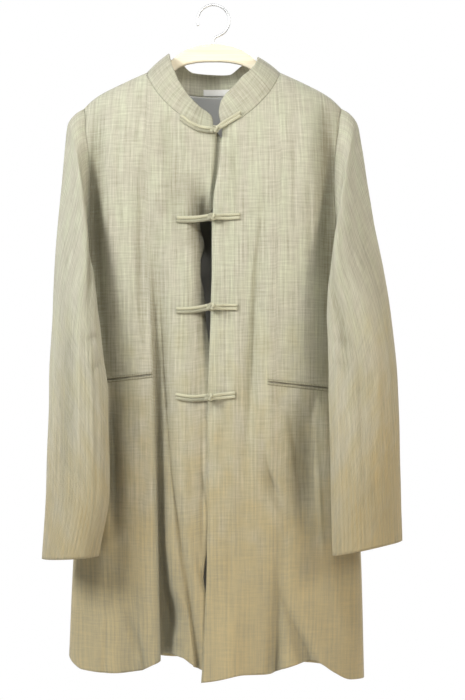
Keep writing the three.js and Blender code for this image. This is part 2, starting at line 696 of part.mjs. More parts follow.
// The loop half: out along one cord, round the knot's shank and back along the other.
function frogLoop(face, frog) {
  const rest = CORD_R + CLEAR;
  const ringR = KNOT_R + 0.9;
  const points = [];
  const leg = (side) => {
    const list = [];
    for (const s of span(5, 0, 1)) {
      const x = lerp(frog.loopX, frog.x - ringR - 4, s);
      const z = lerp(frog.loopZ, frog.z, s) - frog.sag * Math.sin(Math.PI * s) + (side * CORD_GAP) / 2;
      list.push(V(x, face(x, z) - rest, z));
    }
    return list;
  };
  const level = knotLevel(face, frog) - rest;
  points.push(...leg(1));
  for (const a of [120, 75, 30, -15, -60, -105]) {
    const turn = (a - 10) * DEG;
    points.push(V(frog.x + ringR * Math.cos(turn), level, frog.z + ringR * Math.sin(turn)));
  }
  points.push(...leg(-1).reverse());
  return cord(points, 34);
}

// The knot half: a ball on the edge, and two cords that climb over the loop and lie on the cloth.
function frogKnot(wasm, face, frog) {
  const level = knotLevel(face, frog);
  const ball = new THREE.IcosahedronGeometry(KNOT_R, 1).translate(frog.x, level - KNOT_LIFT, frog.z);
  const cords = [1, -1].map((side) => {
    const points = [V(frog.x, level - KNOT_LIFT, frog.z + side * 1.4)];
    const climb = [
      [7.4, KNOT_LIFT - 0.6, 1.9],
      [12, 7.2, 2.4],
      [18, CORD_R + CLEAR + 1, CORD_GAP / 2],
    ];
    for (const [x, lift, apart] of climb) {
      const s = x / (frog.tailX - frog.x);
      const z = lerp(frog.z, frog.tailZ, s) + side * apart;
      points.push(V(frog.x + x, face(frog.x + x, z) - lift, z));
    }
    for (const s of [0.6, 0.8, 1]) {
      const x = lerp(frog.x, frog.tailX, s);
      const z = lerp(frog.z, frog.tailZ, s) + (side * CORD_GAP) / 2;
      points.push(V(x, face(x, z) - CORD_R - CLEAR, z));
    }
    return cord(points, 13);
  });
  return joined(wasm, [ball, ...cords]);
}

// Several closed shapes joined into one solid.
function joined(wasm, geometries) {
  const parts = geometries.map((geometry) => {
    const bare = geometry.clone();
    for (const name of ["normal", "uv"]) bare.deleteAttribute(name);
    const merged = mergeVertices(bare, 1e-3);
    const shape = new wasm.Mesh({
      numProp: 3,
      vertProperties: merged.attributes.position.array,
      triVerts: new Uint32Array(merged.index.array),
    });
    return new wasm.Manifold(shape);
  });
  const { vertProperties, triVerts } = parts.reduce((sum, part) => sum.add(part)).getMesh();
  const geometry = new THREE.BufferGeometry();
  geometry.setAttribute("position", new THREE.Float32BufferAttribute(vertProperties, 3));
  geometry.setIndex(Array.from(triVerts));
  geometry.computeVertexNormals();
  return geometry;
}

// ---- inside the coat ----
const LINING_GAP = 1; // between the back and its lining
const LINING_ROWS = ARM_ROWS + SKIRT_ROWS - 1; // it stops short of the hem

function lining(back) {
  const from = 1; // it stops short of the armholes and the side seams
  const pick = (grid) => grid.slice(from, -from).map((column) => column.slice(0, LINING_ROWS + 1));
  const normals = pick(back.normals);
  return wall(inside(pick(back.grid), normals, SHELL + LINING_GAP), normals, LINING);
}

// The label stands on the collar's seam and lies against the inside of its back.
const LABEL = { x: [-16, 26.5], z: [-137.6, -126.6], thick: 0.8, lift: 0.35, steps: 4 };
function neckLabel(back, band) {
  const collarBack = (grid) => grid.slice(NECK_COLS + 1, NECK_COLS + BACK_NECK_COLS);
  const backings = [
    inside(back.grid, back.normals, SHELL + LINING_GAP + LINING),
    inside(collarBack(band.grid), collarBack(band.normals), COLLAR_LAYER),
  ];
  const behind = (x, z) => Math.min(...backings.map((grid) => faceAt(grid, x, z) ?? Infinity));
  const places = span(LABEL.steps, ...LABEL.x);
  const middle = (LABEL.z[0] + LABEL.z[1]) / 2;
  const edgeY = (k, z) => {
    const near = span(6, places[Math.max(k - 1, 0)], places[Math.min(k + 1, LABEL.steps)]);
    return Math.min(...near.flatMap((x) => [behind(x, z), behind(x, middle)])) - LABEL.lift;
  };
  const points = places.flatMap((x, k) => {
    const [low, high] = LABEL.z;
    const [lowY, highY] = [edgeY(k, low), edgeY(k, high)];
    return [V(x, lowY - LABEL.thick, low), V(x, highY - LABEL.thick, high), V(x, highY, high), V(x, lowY, low)];
  });
  return solid(points, strip(LABEL.steps));
}

// ---- the hanger ----
const HANGER_LINE = table(["x", "top", "low"], [
  [0, -60, -88],
  [12, -60.5, -88],
  [26, -63, -89],
  [42, -68.5, -92],
  [56, -77.5, -98],
  [66, -86, -105],
  [82, -99.5, -119],
  [104, -116, -138],
  [124, -124, -147],
  [144, -132.5, -155.5],
  [162, -142.5, -163.5],
  [172, -148.5, -167],
]);
function hanger() {
  const b = HANGER.bevel;
  const upper = HANGER_LINE.map(({ x, top }) => [x, top - b]);
  const lower = HANGER_LINE.map(({ x, low }) => [x, low + b]).reverse();
  const tip = [upper[upper.length - 1][0] + 4, (upper[upper.length - 1][1] + lower[0][1]) / 2];
  const half = [...upper, tip, ...lower];
  const mirrored = half.slice(1, -1).map(([x, z]) => [-x, z]).reverse();
  const outline = new THREE.Shape([...half, ...mirrored].map(([x, z]) => new THREE.Vector2(x, z)));
  const bar = new THREE.ExtrudeGeometry(outline, {
    depth: HANGER.thick - 2 * b,
    bevelThickness: b,
    bevelSize: b,
    bevelSegments: 2,
  });
  return bar.rotateX(90 * DEG).translate(0, (HANGER.thick - 2 * b) / 2, 0);
}
function hook() {
  const centre = HOOK.wire - HOOK.crook;
  const foot = HANGER_LINE[0].top + SEAM;
  const around = span(11, -62, 200).map((a) => V(HOOK.crook * Math.cos(a * DEG), 0, centre + HOOK.crook * Math.sin(a * DEG)));
  const path = new THREE.CatmullRomCurve3(
    [V(0, 0, foot), V(0, 0, foot + 5), V(2, 0, centre - HOOK.crook - 2), ...around],
    false,
    "centripetal",
  );
  const ring = new THREE.Shape(
    upTo(8).map((k) => new THREE.Vector2(HOOK.wire * Math.cos(k * 45 * DEG), HOOK.wire * Math.sin(k * 45 * DEG))),
  );
  return new THREE.ExtrudeGeometry(ring, { steps: 28, extrudePath: path, bevelEnabled: false });
}

// ---- materials and assembly ----
const COLOURS = {
  shell: ["#b5ab8c", 0.9, 0],
  lining: ["#3d4149", 0.6, 0],
  label: ["#f4f0e4", 0.8, 0],
  wood: ["#ead9ae", 0.5, 0],
  steel: ["#c9ccce", 0.25, 1],
};
const materials = Object.fromEntries(
  Object.entries(COLOURS).map(([name, [color, roughness, metalness]]) => [
    name,
    new THREE.MeshStandardMaterial({ color, roughness, metalness }),
  ]),
);

const coat = new THREE.Group();
function add(name, geometry, material) {
  const mesh = new THREE.Mesh(geometry, materials[material]);
  mesh.name = name;
  coat.add(mesh);
}

const wasm = await Module();
wasm.setup();

const left = frontPanel("left");
const right = frontPanel("right");
const back = backPanel();
const band = collar(left, back, right);
const face = (x, z) => frontFace(left, right, band, x, z);

add("front_left", wall(left.grid, left.normals, SHELL), "shell");
add("front_right", wall(right.grid, right.normals, SHELL), "shell");
add("back", wall(back.grid, back.normals, SHELL), "shell");
add("collar", wall(band.grid, band.normals, COLLAR_LAYER), "shell");
add("sleeve_left", sleeve("left", left, back), "shell");
add("sleeve_right", sleeve("right", right, back), "shell");
for (const [side, panel] of [["left", left], ["right", right]])
  for (const [row, sign] of [["upper", 1], ["lower", -1]])
    add(`pocket_${side}_${row}_jet`, jet(panel, POCKET[side], (sign * (JET.height + JET.slit)) / 2), "shell");
FROGS.forEach((frog, k) => {
  add(`frog_loop_${k + 1}`, frogLoop(face, frog), "shell");
  add(`frog_knot_${k + 1}`, frogKnot(wasm, face, frog), "shell");
});
add("lining_back", lining(back), "lining");
add("neck_label", neckLabel(back, band), "label");
add("hanger", hanger(), "wood");
add("hook", hook(), "steel");

export default coat;
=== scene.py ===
"""A coat with a stand collar on its hanger: cloth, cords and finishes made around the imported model."""

import math
from functools import partial

import bmesh
import bpy
import numpy as np
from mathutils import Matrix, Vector
from mathutils.bvhtree import BVHTree


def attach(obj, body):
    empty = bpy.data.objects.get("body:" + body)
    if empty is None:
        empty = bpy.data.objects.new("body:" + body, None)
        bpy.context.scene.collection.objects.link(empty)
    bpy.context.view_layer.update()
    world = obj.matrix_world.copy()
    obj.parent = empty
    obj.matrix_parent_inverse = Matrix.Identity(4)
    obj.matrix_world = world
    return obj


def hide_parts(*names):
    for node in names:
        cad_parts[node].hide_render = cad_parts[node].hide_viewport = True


bl_info = {
    "name": "Mandarin collar coat",
    "version": (1, 0, 0),
    "blender": (4, 5, 0),
    "location": "View3D > Sidebar > Coat",
    "description": "Makes the cloth, frogs and finishes of a coat that hangs on its hanger",
    "category": "Object",
}

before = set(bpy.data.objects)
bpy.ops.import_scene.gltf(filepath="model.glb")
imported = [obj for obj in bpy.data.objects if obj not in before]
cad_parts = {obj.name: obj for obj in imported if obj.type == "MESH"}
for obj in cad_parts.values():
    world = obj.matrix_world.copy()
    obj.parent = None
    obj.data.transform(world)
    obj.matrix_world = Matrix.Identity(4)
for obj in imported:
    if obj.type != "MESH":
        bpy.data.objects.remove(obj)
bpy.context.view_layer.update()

MM = 0.001  # tables and outlines below are in millimetres, as a pattern cutter's are
QUARTER = math.pi / 2
TURN = 2 * math.pi
SIDE = {"left": 1, "right": -1}  # which way a front or a sleeve lies from the coat's middle

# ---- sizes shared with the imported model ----
SEAM = 0.2
NECK_HALF = 104
NECK_SIDE_Z = -104
NECK_FRONT_DROP = 94
NECK_BACK_DROP = 35
NECK_ROUND = 1.5
NECK_EDGE_Z = -190
NECK_MIDDLE = (0, 0, -70)
SHOULDER_ROLL = 130
SHOULDER_TIP = 200
ARM_TOP_Z = -161
ARM_LOW_Z = -385
ARM_SWEEP = math.radians(25)
HEM_LEVEL = -1035
EDGE_HOLD = 5
FRONT_NECK_SHARE = 0.5  # of a front's top edge
BACK_NECK_SHARE = 1 / 3  # of half the back's top edge
ARM_SHARE = 9 / 26  # of a panel's rows

# How a panel's grid is spread: along the neckline, and down the armhole and the skirt.
NECK_EVEN = 0.7
ARM_CROWD = 0.55
SKIRT_CROWD = 0.94

# How the cloth as a whole waves.
CLOTH_WAVE = 0.9
WAVE_SIZES = (34, 48, 70, 110)
WAVE_LONG = 0.45  # waves are longer down the cloth than across it
WAVE_SUM = 6
WAVE_SEED = {"left": 4, "right": 5, "back": 4, "sleeve_left": 11, "sleeve_right": 12}
SIDE_EASE = 3  # how soon folds grow from a side seam
EDGE_TURN = (4.5, 2.2)  # how wide and how deep the front edges turn away


class Line:
    """A smooth line through the rows of a table, without overshoot."""

    def __init__(self, at, values):
        order = np.argsort(at)
        self.at = np.asarray(at, float)[order]
        self.values = np.asarray(values, float)[order]
        slope = np.diff(self.values) / np.diff(self.at)
        before, after = slope[:-1], slope[1:]
        same = before * after > 0
        inner = np.zeros(len(before))
        inner[same] = 2 * before[same] * after[same] / (before[same] + after[same])
        self.slope = np.concatenate([slope[:1], inner, slope[-1:]])

    def __call__(self, at):
        at = np.clip(at, self.at[0], self.at[-1])
        i = np.clip(np.searchsorted(self.at, at, side="right") - 1, 0, len(self.at) - 2)
        width = self.at[i + 1] - self.at[i]
        s = (at - self.at[i]) / width
        start = (2 * s**3 - 3 * s**2 + 1) * self.values[i] + (s**3 - 2 * s**2 + s) * width * self.slope[i]
        end = (3 * s**2 - 2 * s**3) * self.values[i + 1] + (s**3 - s**2) * width * self.slope[i + 1]
        return start + end


def lines(names, rows):
    """The columns of a table as lines over its first column."""
    columns = list(zip(*rows))
    return {name: Line(columns[0], column) for name, column in zip(names.split()[1:], columns[1:])}


def records(names, rows):
    """The rows of a table as dictionaries."""
    return [dict(zip(names.split(), row)) for row in rows]


def lerp(start, end, share):
    return start + (end - start) * share


def smoothstep(x, low, high):
    s = np.clip((x - low) / (high - low), 0, 1)
    return s * s * (3 - 2 * s)


def swell(off, wide):
    """1 in the middle of a fold, dying out to its sides."""
    return np.exp(-((off / wide) ** 2))


def unit(vectors):
    return vectors / np.linalg.norm(vectors, axis=-1, keepdims=True)


BODY = lines(
    "z right left side front back box",
    [
        (-60, 200, 198, 0, 52, 46, 0.7),
        (-165, 203, 201, 0, 54, 50, 0.7),
        (-200, 210, 206, 0, 57, 51, 0.7),
        (-280, 212, 208, 0, 61, 52, 0.7),
        (-340, 206, 204, 2, 63, 50, 0.6),
        (-385, 198, 196, 4, 64, 48, 0.55),
        (-450, 194, 191, 7, 67, 47, 0.45),
        (-550, 192, 192, 11, 70, 45, 0.3),
        (-700, 205, 214, 18, 77, 42, 0.15),
        (-850, 220, 232, 24, 83, 40, 0.05),
        (-1060, 229.5, 238, 28, 90, 42, 0.05),
    ],
)
SHOULDER = lines(
    "x z",
    [(0, -57), (NECK_HALF, NECK_SIDE_Z), (144, -122.5), (180, -142), (200, ARM_TOP_Z), (240, -226)],
)["z"]
FRONT_EDGE = lines(
    "z left right",
    [
        (-190, 14, -6), (-214, 13, 14), (-245, 11, 20), (-276, 5, 14), (-300, 1, 6),
        (-318, 0, 0), (-330, -1, -8), (-339, -2, -21), (-348, -2, -20), (-377, -2, -14),
        (-403, -2, -19), (-423, -2, -19), (-450, -3, -14), (-493, -4, -11), (-543, -6, -4),
        (-617, -8, 0), (-772, -8, 0), (-835, -9, -6), (-890, -10, -15), (-930, -12, -8),
        (-1004, -15, -6), (-1060, -19, -10),
    ],
)
HEM = {
    "right": lines(
        "x z",
        [
            (-230, -1019), (-220, -1030), (-205, -1038), (-160, -1041), (-110, -1036),
            (-98, -1026), (-84, -1014), (-68, -1012), (-48, -1015), (-34, -1026), (-8, -1038),
        ],
    )["z"],
    "left": lines(
        "x z",
        [
            (-20, -1060), (26, -1051), (65, -1041), (96, -1041), (112, -1034), (158, -1022),
            (172, -1029), (189, -1041), (215, -1054), (238, -1055),
        ],
    )["z"],
    "back": lines("x z", [(-230, -1019), (-150, -1024), (0, -1026), (150, -1034), (238, -1055)])["z"],
}
UNDERLAP = (4.6, -46, -8)  # depth, and the two places between which the right front dips under

# The stand collar's lean, from 0 at its left end, round the back at 2, to 4 at its right end.
COLLAR = lines(
    "at inward up tilt",
    [
        (0, 8, 31, 13), (0.33, 27, 37, 9), (0.6, 30, 39, 6), (0.8, 31, 34, 4), (1, 34, 25, 0),
        (1.25, 22, 27, 5), (1.5, 13, 43, 6), (1.75, 5, 34, 2), (2, 0, 36, -4),
        (2.25, -2, 37, 1), (2.5, 9, 45, 6), (2.75, 22, 31, 5), (3, 34, 30, 0), (3.2, 28, 33, 4),
        (3.4, 22, 29, 6), (3.67, 15, 26, 9), (4, -2, 27, 13),
    ],
)
COLLAR_BULGE = 2.2
COLLAR_CORNER = 0.16  # how much of a front's neckline its rounded end takes
COLLAR_ROUND = 0.4  # how far the end is rounded down
COLLAR_STEP = 0.02  # between the places that its direction is taken from
COLLAR_TURN = 0.25  # how much of a quarter its lean takes to change sides
# Where the band buckles: place round the neck, how wide and how deep.
COLLAR_DENTS = [(0.62, 0.05, 1.5), (1.66, 0.04, 2), (2.34, 0.05, 2), (3.4, 0.05, 1.5)]

# Each fold is a trough, or a ridge where its depth is negative, through three stations of height z,
# place x and depth d. "inner" and "outer" are the widths of its sides towards -X and +X.
# A fold's depth also sets the painted shade laid in its trough.
FOLD_NAMES = "inner outer z1 x1 d1 z2 x2 d2 z3 x3 d3"
FOLDS = {
    "right": [
        (6, 15, -330, -93, 0, -640, -88, 20, -1040, -80, 30),
        (12, 22, -850, -76, 0, -980, -66, 20, -1040, -72, 18),
        (6, 8, -360, -84, 0, -690, -66, 9, -1030, -24, 9),
        (16, 18, -210, -70, 5, -300, -58, 6, -400, -50, 0),
        (12, 14, -280, -108, 4, -440, -110, 6, -560, -106, 0),
        (5, 6, -175, 12, 0, -245, 7, 9, -325, -1, 6),
        (20, 14, -262, -30, 0, -334, -14, 15, -390, -20, 0),
        (13, 14, -335, -14, 10, -420, -10, 19, -570, -4, 3),
        (26, 26, -880, -128, 0, -980, -122, 7, -1040, -118, 12),
        (30, 20, -600, -140, 0, -760, -132, -6, -900, -140, 0),
        (12, 14, -150, -180, 0, -300, -186, 26, -560, -167, 8),
        (10, 9, -560, -158, 0, -710, -155, 20, -840, -152, 0),
        (3.5, 5, -250, -112, 0, -420, -113, 2.8, -560, -109, 0),
        (2.5, 3, -440, -82, 0, -600, -75, 2.6, -700, -66, 0),
        (2.5, 3, -620, -16, 0, -760, -17, 2.6, -900, -16, 0),
        (3, 4, -940, -122, 0, -1000, -112, 3.4, -1040, -106, 4),
        (12, 16, -590, -142, 0, -760, -150, 4, -1000, -150, 0),
        (5, 6, -290, -100, 0, -380, -98, 1.2, -470, -94, 0),
        (4, 6, -470, -68, 0, -600, -62, 2, -760, -50, 0),
        (5, 4, -560, -42, 0, -700, -36, 1.6, -860, -30, 0),
        (4, 4, -700, -104, 0, -860, -100, -2, -1030, -98, -2.5),
        (5, 6, -150, -150, 0, -230, -146, 1.8, -330, -150, 0),
        (4, 6, -840, -168, 0, -930, -164, 1.6, -1030, -170, 2.4),
        (3, 3, -800, -52, 0, -900, -44, -2.4, -1010, -32, -3),
    ],
    "left": [
        (7, 12, -300, 80, 2, -560, 60, 7, -740, 52, 0),
        (9, 12, -690, 78, 0, -750, 92, 7, -800, 112, 0),
        (10, 14, -790, 108, 0, -920, 101, 6, -1045, 95, 16),
        (12, 14, -900, 102, 0, -960, 122, 7, -1030, 150, 16),
        (9, 14, -200, 40, 0, -250, 36, 4, -330, 48, 0),
        (24, 26, -600, 140, 0, -720, 146, 15, -850, 150, 0),
        (22, 24, -880, 30, 0, -980, 26, -6, -1060, 24, -10),
        (14, 16, -140, 174, 0, -250, 177, 22, -600, 176, 5),
        (1.6, 2, -215, 19, 1.1, -600, 0, 1.1, -1050, -10, 1.1),
        (2.5, 3.5, -320, 76, 0, -430, 64, 2, -700, 55, 0.4),
        (3, 4, -690, 80, 0, -735, 88, 3, -775, 106, 0),
        (3, 4, -880, 99, 0, -950, 100, 2.6, -1040, 96, 3),
        (3, 4, -905, 98, 0, -960, 122, 3.2, -1015, 150, 2),
        (4, 6, -160, 122, 0, -260, 126, 1.8, -390, 124, 0),
        (5, 5, -230, 148, 0, -330, 150, 2.2, -480, 152, 0),
        (4, 5, -620, 116, 0, -690, 126, 2.4, -790, 138, 0),
        (4, 4, -640, 158, 0, -740, 164, -2.2, -880, 172, 0),
        (4, 5, -760, 30, 0, -860, 26, 1.6, -960, 28, 0),
    ],
    "back": [
        (30, 34, -260, -112, 0, -620, -120, -12, -1050, -130, -16),
        (32, 30, -300, -48, 0, -700, -52, -9, -1050, -60, -15),
        (30, 34, -280, 40, 0, -660, 44, -11, -1050, 50, -14),
        (34, 30, -240, 116, 0, -600, 124, -12, -1050, 136, -17),
        (10, 15, -430, -82, 0, -780, -86, 9, -1050, -92, 13),
        (13, 9, -520, 72, 0, -820, 78, 8, -1050, 84, 12),
        (12, 14, -300, -6, 0, -520, -4, 5, -800, 0, 0),
        (9, 12, -200, -150, 0, -300, -156, 6, -460, -150, 0),
        (12, 9, -200, 150, 0, -310, 158, 6, -470, 150, 0),
        (6, 8, -330, -150, 0, -560, -154, 2.5, -800, -160, 1),
        (5, 6, -420, -20, 0, -640, -18, 2, -900, -12, 0.6),
        (7, 6, -360, 84, 0, -600, 82, 2.6, -940, 88, 1),
        (6, 7, -200, 20, 0, -280, 26, 1.6, -380, 30, 0),
    ],
}
FOLD_FADE = 45
# The depth of trough at which its painted shade is full.
FOLD_DEEP = 22
HEM_BAND = -985  # a fold whose last station is below this runs out of the hem

# Where a fold's lip on the right front leans over its trough: the same stations, with how far it leans.
LIPS = [
    (9, 5, -360, -98, 0, -640, -96, 6, -1040, -92, 11),
    (6, 4, -330, -90, 0, -690, -72, 2.5, -1030, -33, 3),
    (8, 4, -255, -4, 0, -300, -12, 3, -345, -30, 0),
]

# Short creases from one place to another.
PULL_NAMES = "x1 z1 x2 z2 wide depth"
PULLS = {
    "right": [
        (-58, -336, -96, -326, 5, 1.2), (-58, -332, -82, -300, 5, 1.4), (-60, -478, -98, -486, 5, 1.2),
        (-60, -610, -84, -640, 4, 1.6), (-52, -178, -92, -196, 6, 1.4), (-96, -590, -110, -650, 6, 2),
        (-150, -596, -140, -650, 6, 1.6), (-70, -912, -61, -985, 12, 13),
        (-138, -935, -112, -1018, 7, 6), (-60, -898, -42, -948, 5, -5), (-52, -955, -60, -1005, 5, -5),
        (-76, -996, -40, -1020, 5, -5), (-16, -628, -6, -652, 3, 2.5), (-18, -722, -8, -786, 3, 3),
        (-24, -850, -14, -915, 4, 3),
    ],
    "left": [
        (16, -206, 52, -226, 3.5, 1.4), (14, -228, 46, -262, 3.5, 1.8), (10, -250, 38, -290, 3, 1.2),
        (44, -331, 84, -322, 5, 1.1), (42, -470, 74, -462, 5, 0.9), (88, -606, 120, -640, 4, 1.6),
        (160, -606, 150, -660, 6, 2), (84, -726, 106, -770, 2.5, 1.6), (4, -700, -6, -760, 3, 1.2),
    ],
    "back": [
        (-120, -150, -60, -190, 9, 1.8), (120, -152, 64, -196, 9, 1.8),
        (-186, -330, -130, -300, 8, 2.2), (184, -335, 128, -300, 8, 2.2),
    ],
}


def shares_of(folds, x, z):
    """Each fold, with how deep it is down the panel and how much of that reaches each place."""
    for fold in records(FOLD_NAMES, folds):
        at = lines("z x d", [[fold[part + str(k)] for part in "zxd"] for k in (1, 2, 3)])
        off = x - at["x"](z)
        yield fold, at["d"](z), swell(off, np.where(off < 0, fold["inner"], fold["outer"]))


def fold_at(face, x, z):
    """How far the folds push the cloth back, at places of a panel."""
    depth = np.zeros(np.shape(x))
    for fold, deep, share in shares_of(FOLDS[face], x, z):
        above = smoothstep(fold["z1"] + FOLD_FADE - z, 0, FOLD_FADE)
        runs_on = fold["z3"] < HEM_BAND
        below = 1 if runs_on else smoothstep(z - fold["z3"] + FOLD_FADE, 0, FOLD_FADE)
        depth += deep * above * below * share
    for pull in records(PULL_NAMES, PULLS[face]):
        ends = (pull["x1"], pull["z1"], pull["x2"], pull["z2"])
        depth += pull["depth"] * crease(x, z, ends, pull["wide"])
    return depth


def lip_at(face, x, z):
    """How far the lips of folds lean sideways over their troughs."""
    folds = LIPS if face == "right" else []
    return sum((deep * share for _, deep, share in shares_of(folds, x, z)), np.zeros(np.shape(x)))


def crease(a, b, ends, wide):
    """1 along a line between two places, dying out beside it and at its ends."""
    a1, b1, a2, b2 = ends
    length = math.hypot(a2 - a1, b2 - b1)
    along = ((a - a1) * (a2 - a1) + (b - b1) * (b2 - b1)) / length**2
    off = ((a - a1) * (b2 - b1) - (b - b1) * (a2 - a1)) / length
    return swell(off, wide) * np.sin(math.pi * np.clip(along, 0, 1))


def ripple(a, b, seed):
    """Low uneven waves, about -1 to 1, over places in millimetres."""
    rng = np.random.default_rng(seed)
    total = 0
    for size in WAVE_SIZES:
        turns = rng.uniform(0, math.pi, 3)
        starts = rng.uniform(0, TURN, 3)
        for turn, start in zip(turns, starts):
            along = (a * math.cos(turn) + WAVE_LONG * b * math.sin(turn)) / size
            total = total + np.sin(along * TURN + start)
    return total / WAVE_SUM


def shoulder_roll(x, z):
    down = np.clip((SHOULDER(np.abs(x)) - z) / SHOULDER_ROLL, 0, 1)
    return np.sqrt(1 - (1 - down) ** 2)


def half_width(x, z):
    return np.where(x < 0, BODY["right"](z), BODY["left"](z))


def body_point(face, x, z):
    """Places on the coat's outer face."""
    s = np.clip(x / half_width(x, z), -1, 1)
    c = np.sqrt(1 - s * s)
    deep = BODY["back"](z) if face == "back" else -BODY["front"](z)
    ease = np.minimum(1, SIDE_EASE * c)
    bend = fold_at(face, x, z) * ease + CLOTH_WAVE * ripple(x, z, WAVE_SEED[face]) * ease
    if face == "right":
        bend = bend + UNDERLAP[0] * smoothstep(x, UNDERLAP[1], UNDERLAP[2])
    deep = deep * c * (1 + BODY["box"](z) * s * s)
    y = BODY["side"](z) + (deep + bend) * shoulder_roll(x, z)
    return np.stack([x + lip_at(face, x, z), y, z], axis=-1)


def neckline(face, x):
    share = np.minimum(np.abs(x) / NECK_HALF, 1)
    if face == "back":
        return NECK_SIDE_Z - NECK_BACK_DROP * np.sqrt(1 - share**2)
    return NECK_SIDE_Z - NECK_FRONT_DROP * (1 - share**NECK_ROUND) ** (1 / NECK_ROUND)


def top_line(face, x):
    return np.where(np.abs(x) >= NECK_HALF, SHOULDER(np.abs(x)), neckline(face, x))


def edge_angle(face, z):
    """How far round the body a front's edge lies."""
    side = SIDE[face]
    return np.arcsin(side * FRONT_EDGE[face](z) / half_width(side, z))


def panel(face, u, v):
    """A front or the back. u runs from the front edge to the side, or across the back; v down."""
    back = face == "back"
    neck = BACK_NECK_SHARE if back else FRONT_NECK_SHARE
    start = 0 if back else SIDE[face] * FRONT_EDGE[face](NECK_EDGE_Z)
    reach = np.abs(u)
    inner = np.clip(reach / neck, 0, 1)
    turned = NECK_HALF * np.sin(lerp(np.arcsin(start / NECK_HALF), QUARTER, inner))
    neck_x = lerp(turned, lerp(start, NECK_HALF, inner), NECK_EVEN)
    outer = np.clip((reach - neck) / (1 - neck), 0, 1)
    top_x = np.where(reach < neck, neck_x, lerp(NECK_HALF, SHOULDER_TIP, outer))
    sign = np.where(u < 0, -1, 1) if back else SIDE[face]
    top_z = top_line(face, top_x * sign)
    wide = half_width(sign, top_z)
    wide = lerp(wide, SHOULDER_TIP, smoothstep(top_x, NECK_HALF, SHOULDER_TIP))
    first = 0 if back else edge_angle(face, NECK_EDGE_Z)
    share = (np.arcsin(np.clip(top_x / wide, -1, 1)) - first) / (QUARTER - first)
    on_arm = v <= ARM_SHARE
    down = np.clip(v / ARM_SHARE, 0, 1)
    down = lerp(down, (1 - np.cos(math.pi * down)) / 2, ARM_CROWD)
    bottom_angle = first + share * (QUARTER - first)
    hem = HEM[face](np.sin(bottom_angle) * sign * half_width(sign, HEM_LEVEL))
    skirt = np.clip((v - ARM_SHARE) / (1 - ARM_SHARE), 0, 1) ** SKIRT_CROWD
    z = np.where(on_arm, lerp(top_z, ARM_LOW_Z, down), lerp(ARM_LOW_Z, hem, skirt))
    arm_z = (2 * lerp(ARM_TOP_Z, ARM_LOW_Z, down) - ARM_TOP_Z - ARM_LOW_Z) / (ARM_TOP_Z - ARM_LOW_Z)
    cut = np.where(on_arm, ARM_SWEEP * np.sqrt(np.clip(1 - arm_z**2, 0, 1)), 0) * share**3
    stray = 0 if back else (edge_angle(face, z) - first) * (1 - share) ** EDGE_HOLD
    angle = first + share * (QUARTER - first) + stray - cut
    points = body_point(face, np.sin(angle) * half_width(sign, z) * sign, z)
    points[..., 1] += SEAM / 2 if back else -SEAM / 2
    if not back:
        edge_wide, edge_deep = EDGE_TURN
        points[..., 1] += edge_deep * swell(points[..., 0] - FRONT_EDGE[face](z), edge_wide)
    return points


# ---- sleeves ----
# From 0 at the armhole to 18 at the cuff: the sleeve's outer and inner edges, how far back its middle is,
# how deep and how turned it is, and how far it laps over the front.
SLEEVE_NAMES = "at outX outZ inX inZ mid deep slant lap"
SLEEVE_ROWS = {
    "left": [
        (0, 200, -161, 196, -385, 2, 38, 0, 0),
        (1, 212, -168, 199, -390, -2, 40, 0.15, 4),
        (2, 226, -187, 199, -396, -8, 44, 0.3, 12),
        (3, 232, -220, 198, -406, -14, 48, 0.45, 20),
        (4.5, 241, -280, 192, -424, -24, 52, 0.55, 24),
        (6, 251, -338, 185, -446, -33, 53, 0.62, 24),
        (8, 267, -420, 177, -492, -43, 51, 0.55, 12),
        (10, 278, -492, 177, -542, -50, 49, 0.5, 4),
        (12, 286, -572, 177, -600, -56, 46, 0.45, 0),
        (14, 289, -655, 179, -668, -60, 43, 0.4, 0),
        (16, 291, -750, 181, -758, -61, 41, 0.35, 0),
        (18, 293, -834, 184, -855, -61, 40, 0.3, 0),
    ],
    "right": [
        (0, -202, -161, -198, -385, 2, 38, 0, 0),
        (1, -214, -168, -200, -390, -2, 40, 0.15, 4),
        (2, -228, -187, -200, -396, -8, 44, 0.3, 12),
        (3, -232, -220, -199, -406, -14, 48, 0.45, 18),
        (4.5, -237, -280, -193, -424, -24, 53, 0.55, 20),
        (6, -242, -338, -187, -446, -33, 55, 0.62, 18),
        (8, -248, -420, -176, -492, -43, 54, 0.55, 8),
        (10, -251, -492, -169, -542, -50, 52, 0.5, 2),
        (12, -254, -572, -162, -600, -56, 50, 0.45, 0),
        (14, -256, -655, -160, -668, -60, 48, 0.4, 0),
        (16, -259, -750, -159, -758, -61, 47, 0.35, 0),
        (18, -265, -862, -176, -856, -61, 46, 0.3, 0),
    ],
}
SLEEVE = {face: lines(SLEEVE_NAMES, rows) for face, rows in SLEEVE_ROWS.items()}
SLEEVE_END = 18
SLEEVE_CROWD = 1.12  # how much closer its rows are at the armhole
SLEEVE_WAVE = (60, 40)  # millimetres to a radius and to a station, for its waves
SLEEVE_CALM = (1, 5)  # the stations between which its waves grow
SEAM_BLEND = 3.2  # the station at which the armhole's shape has died out
NEAR_RIM = 0.98

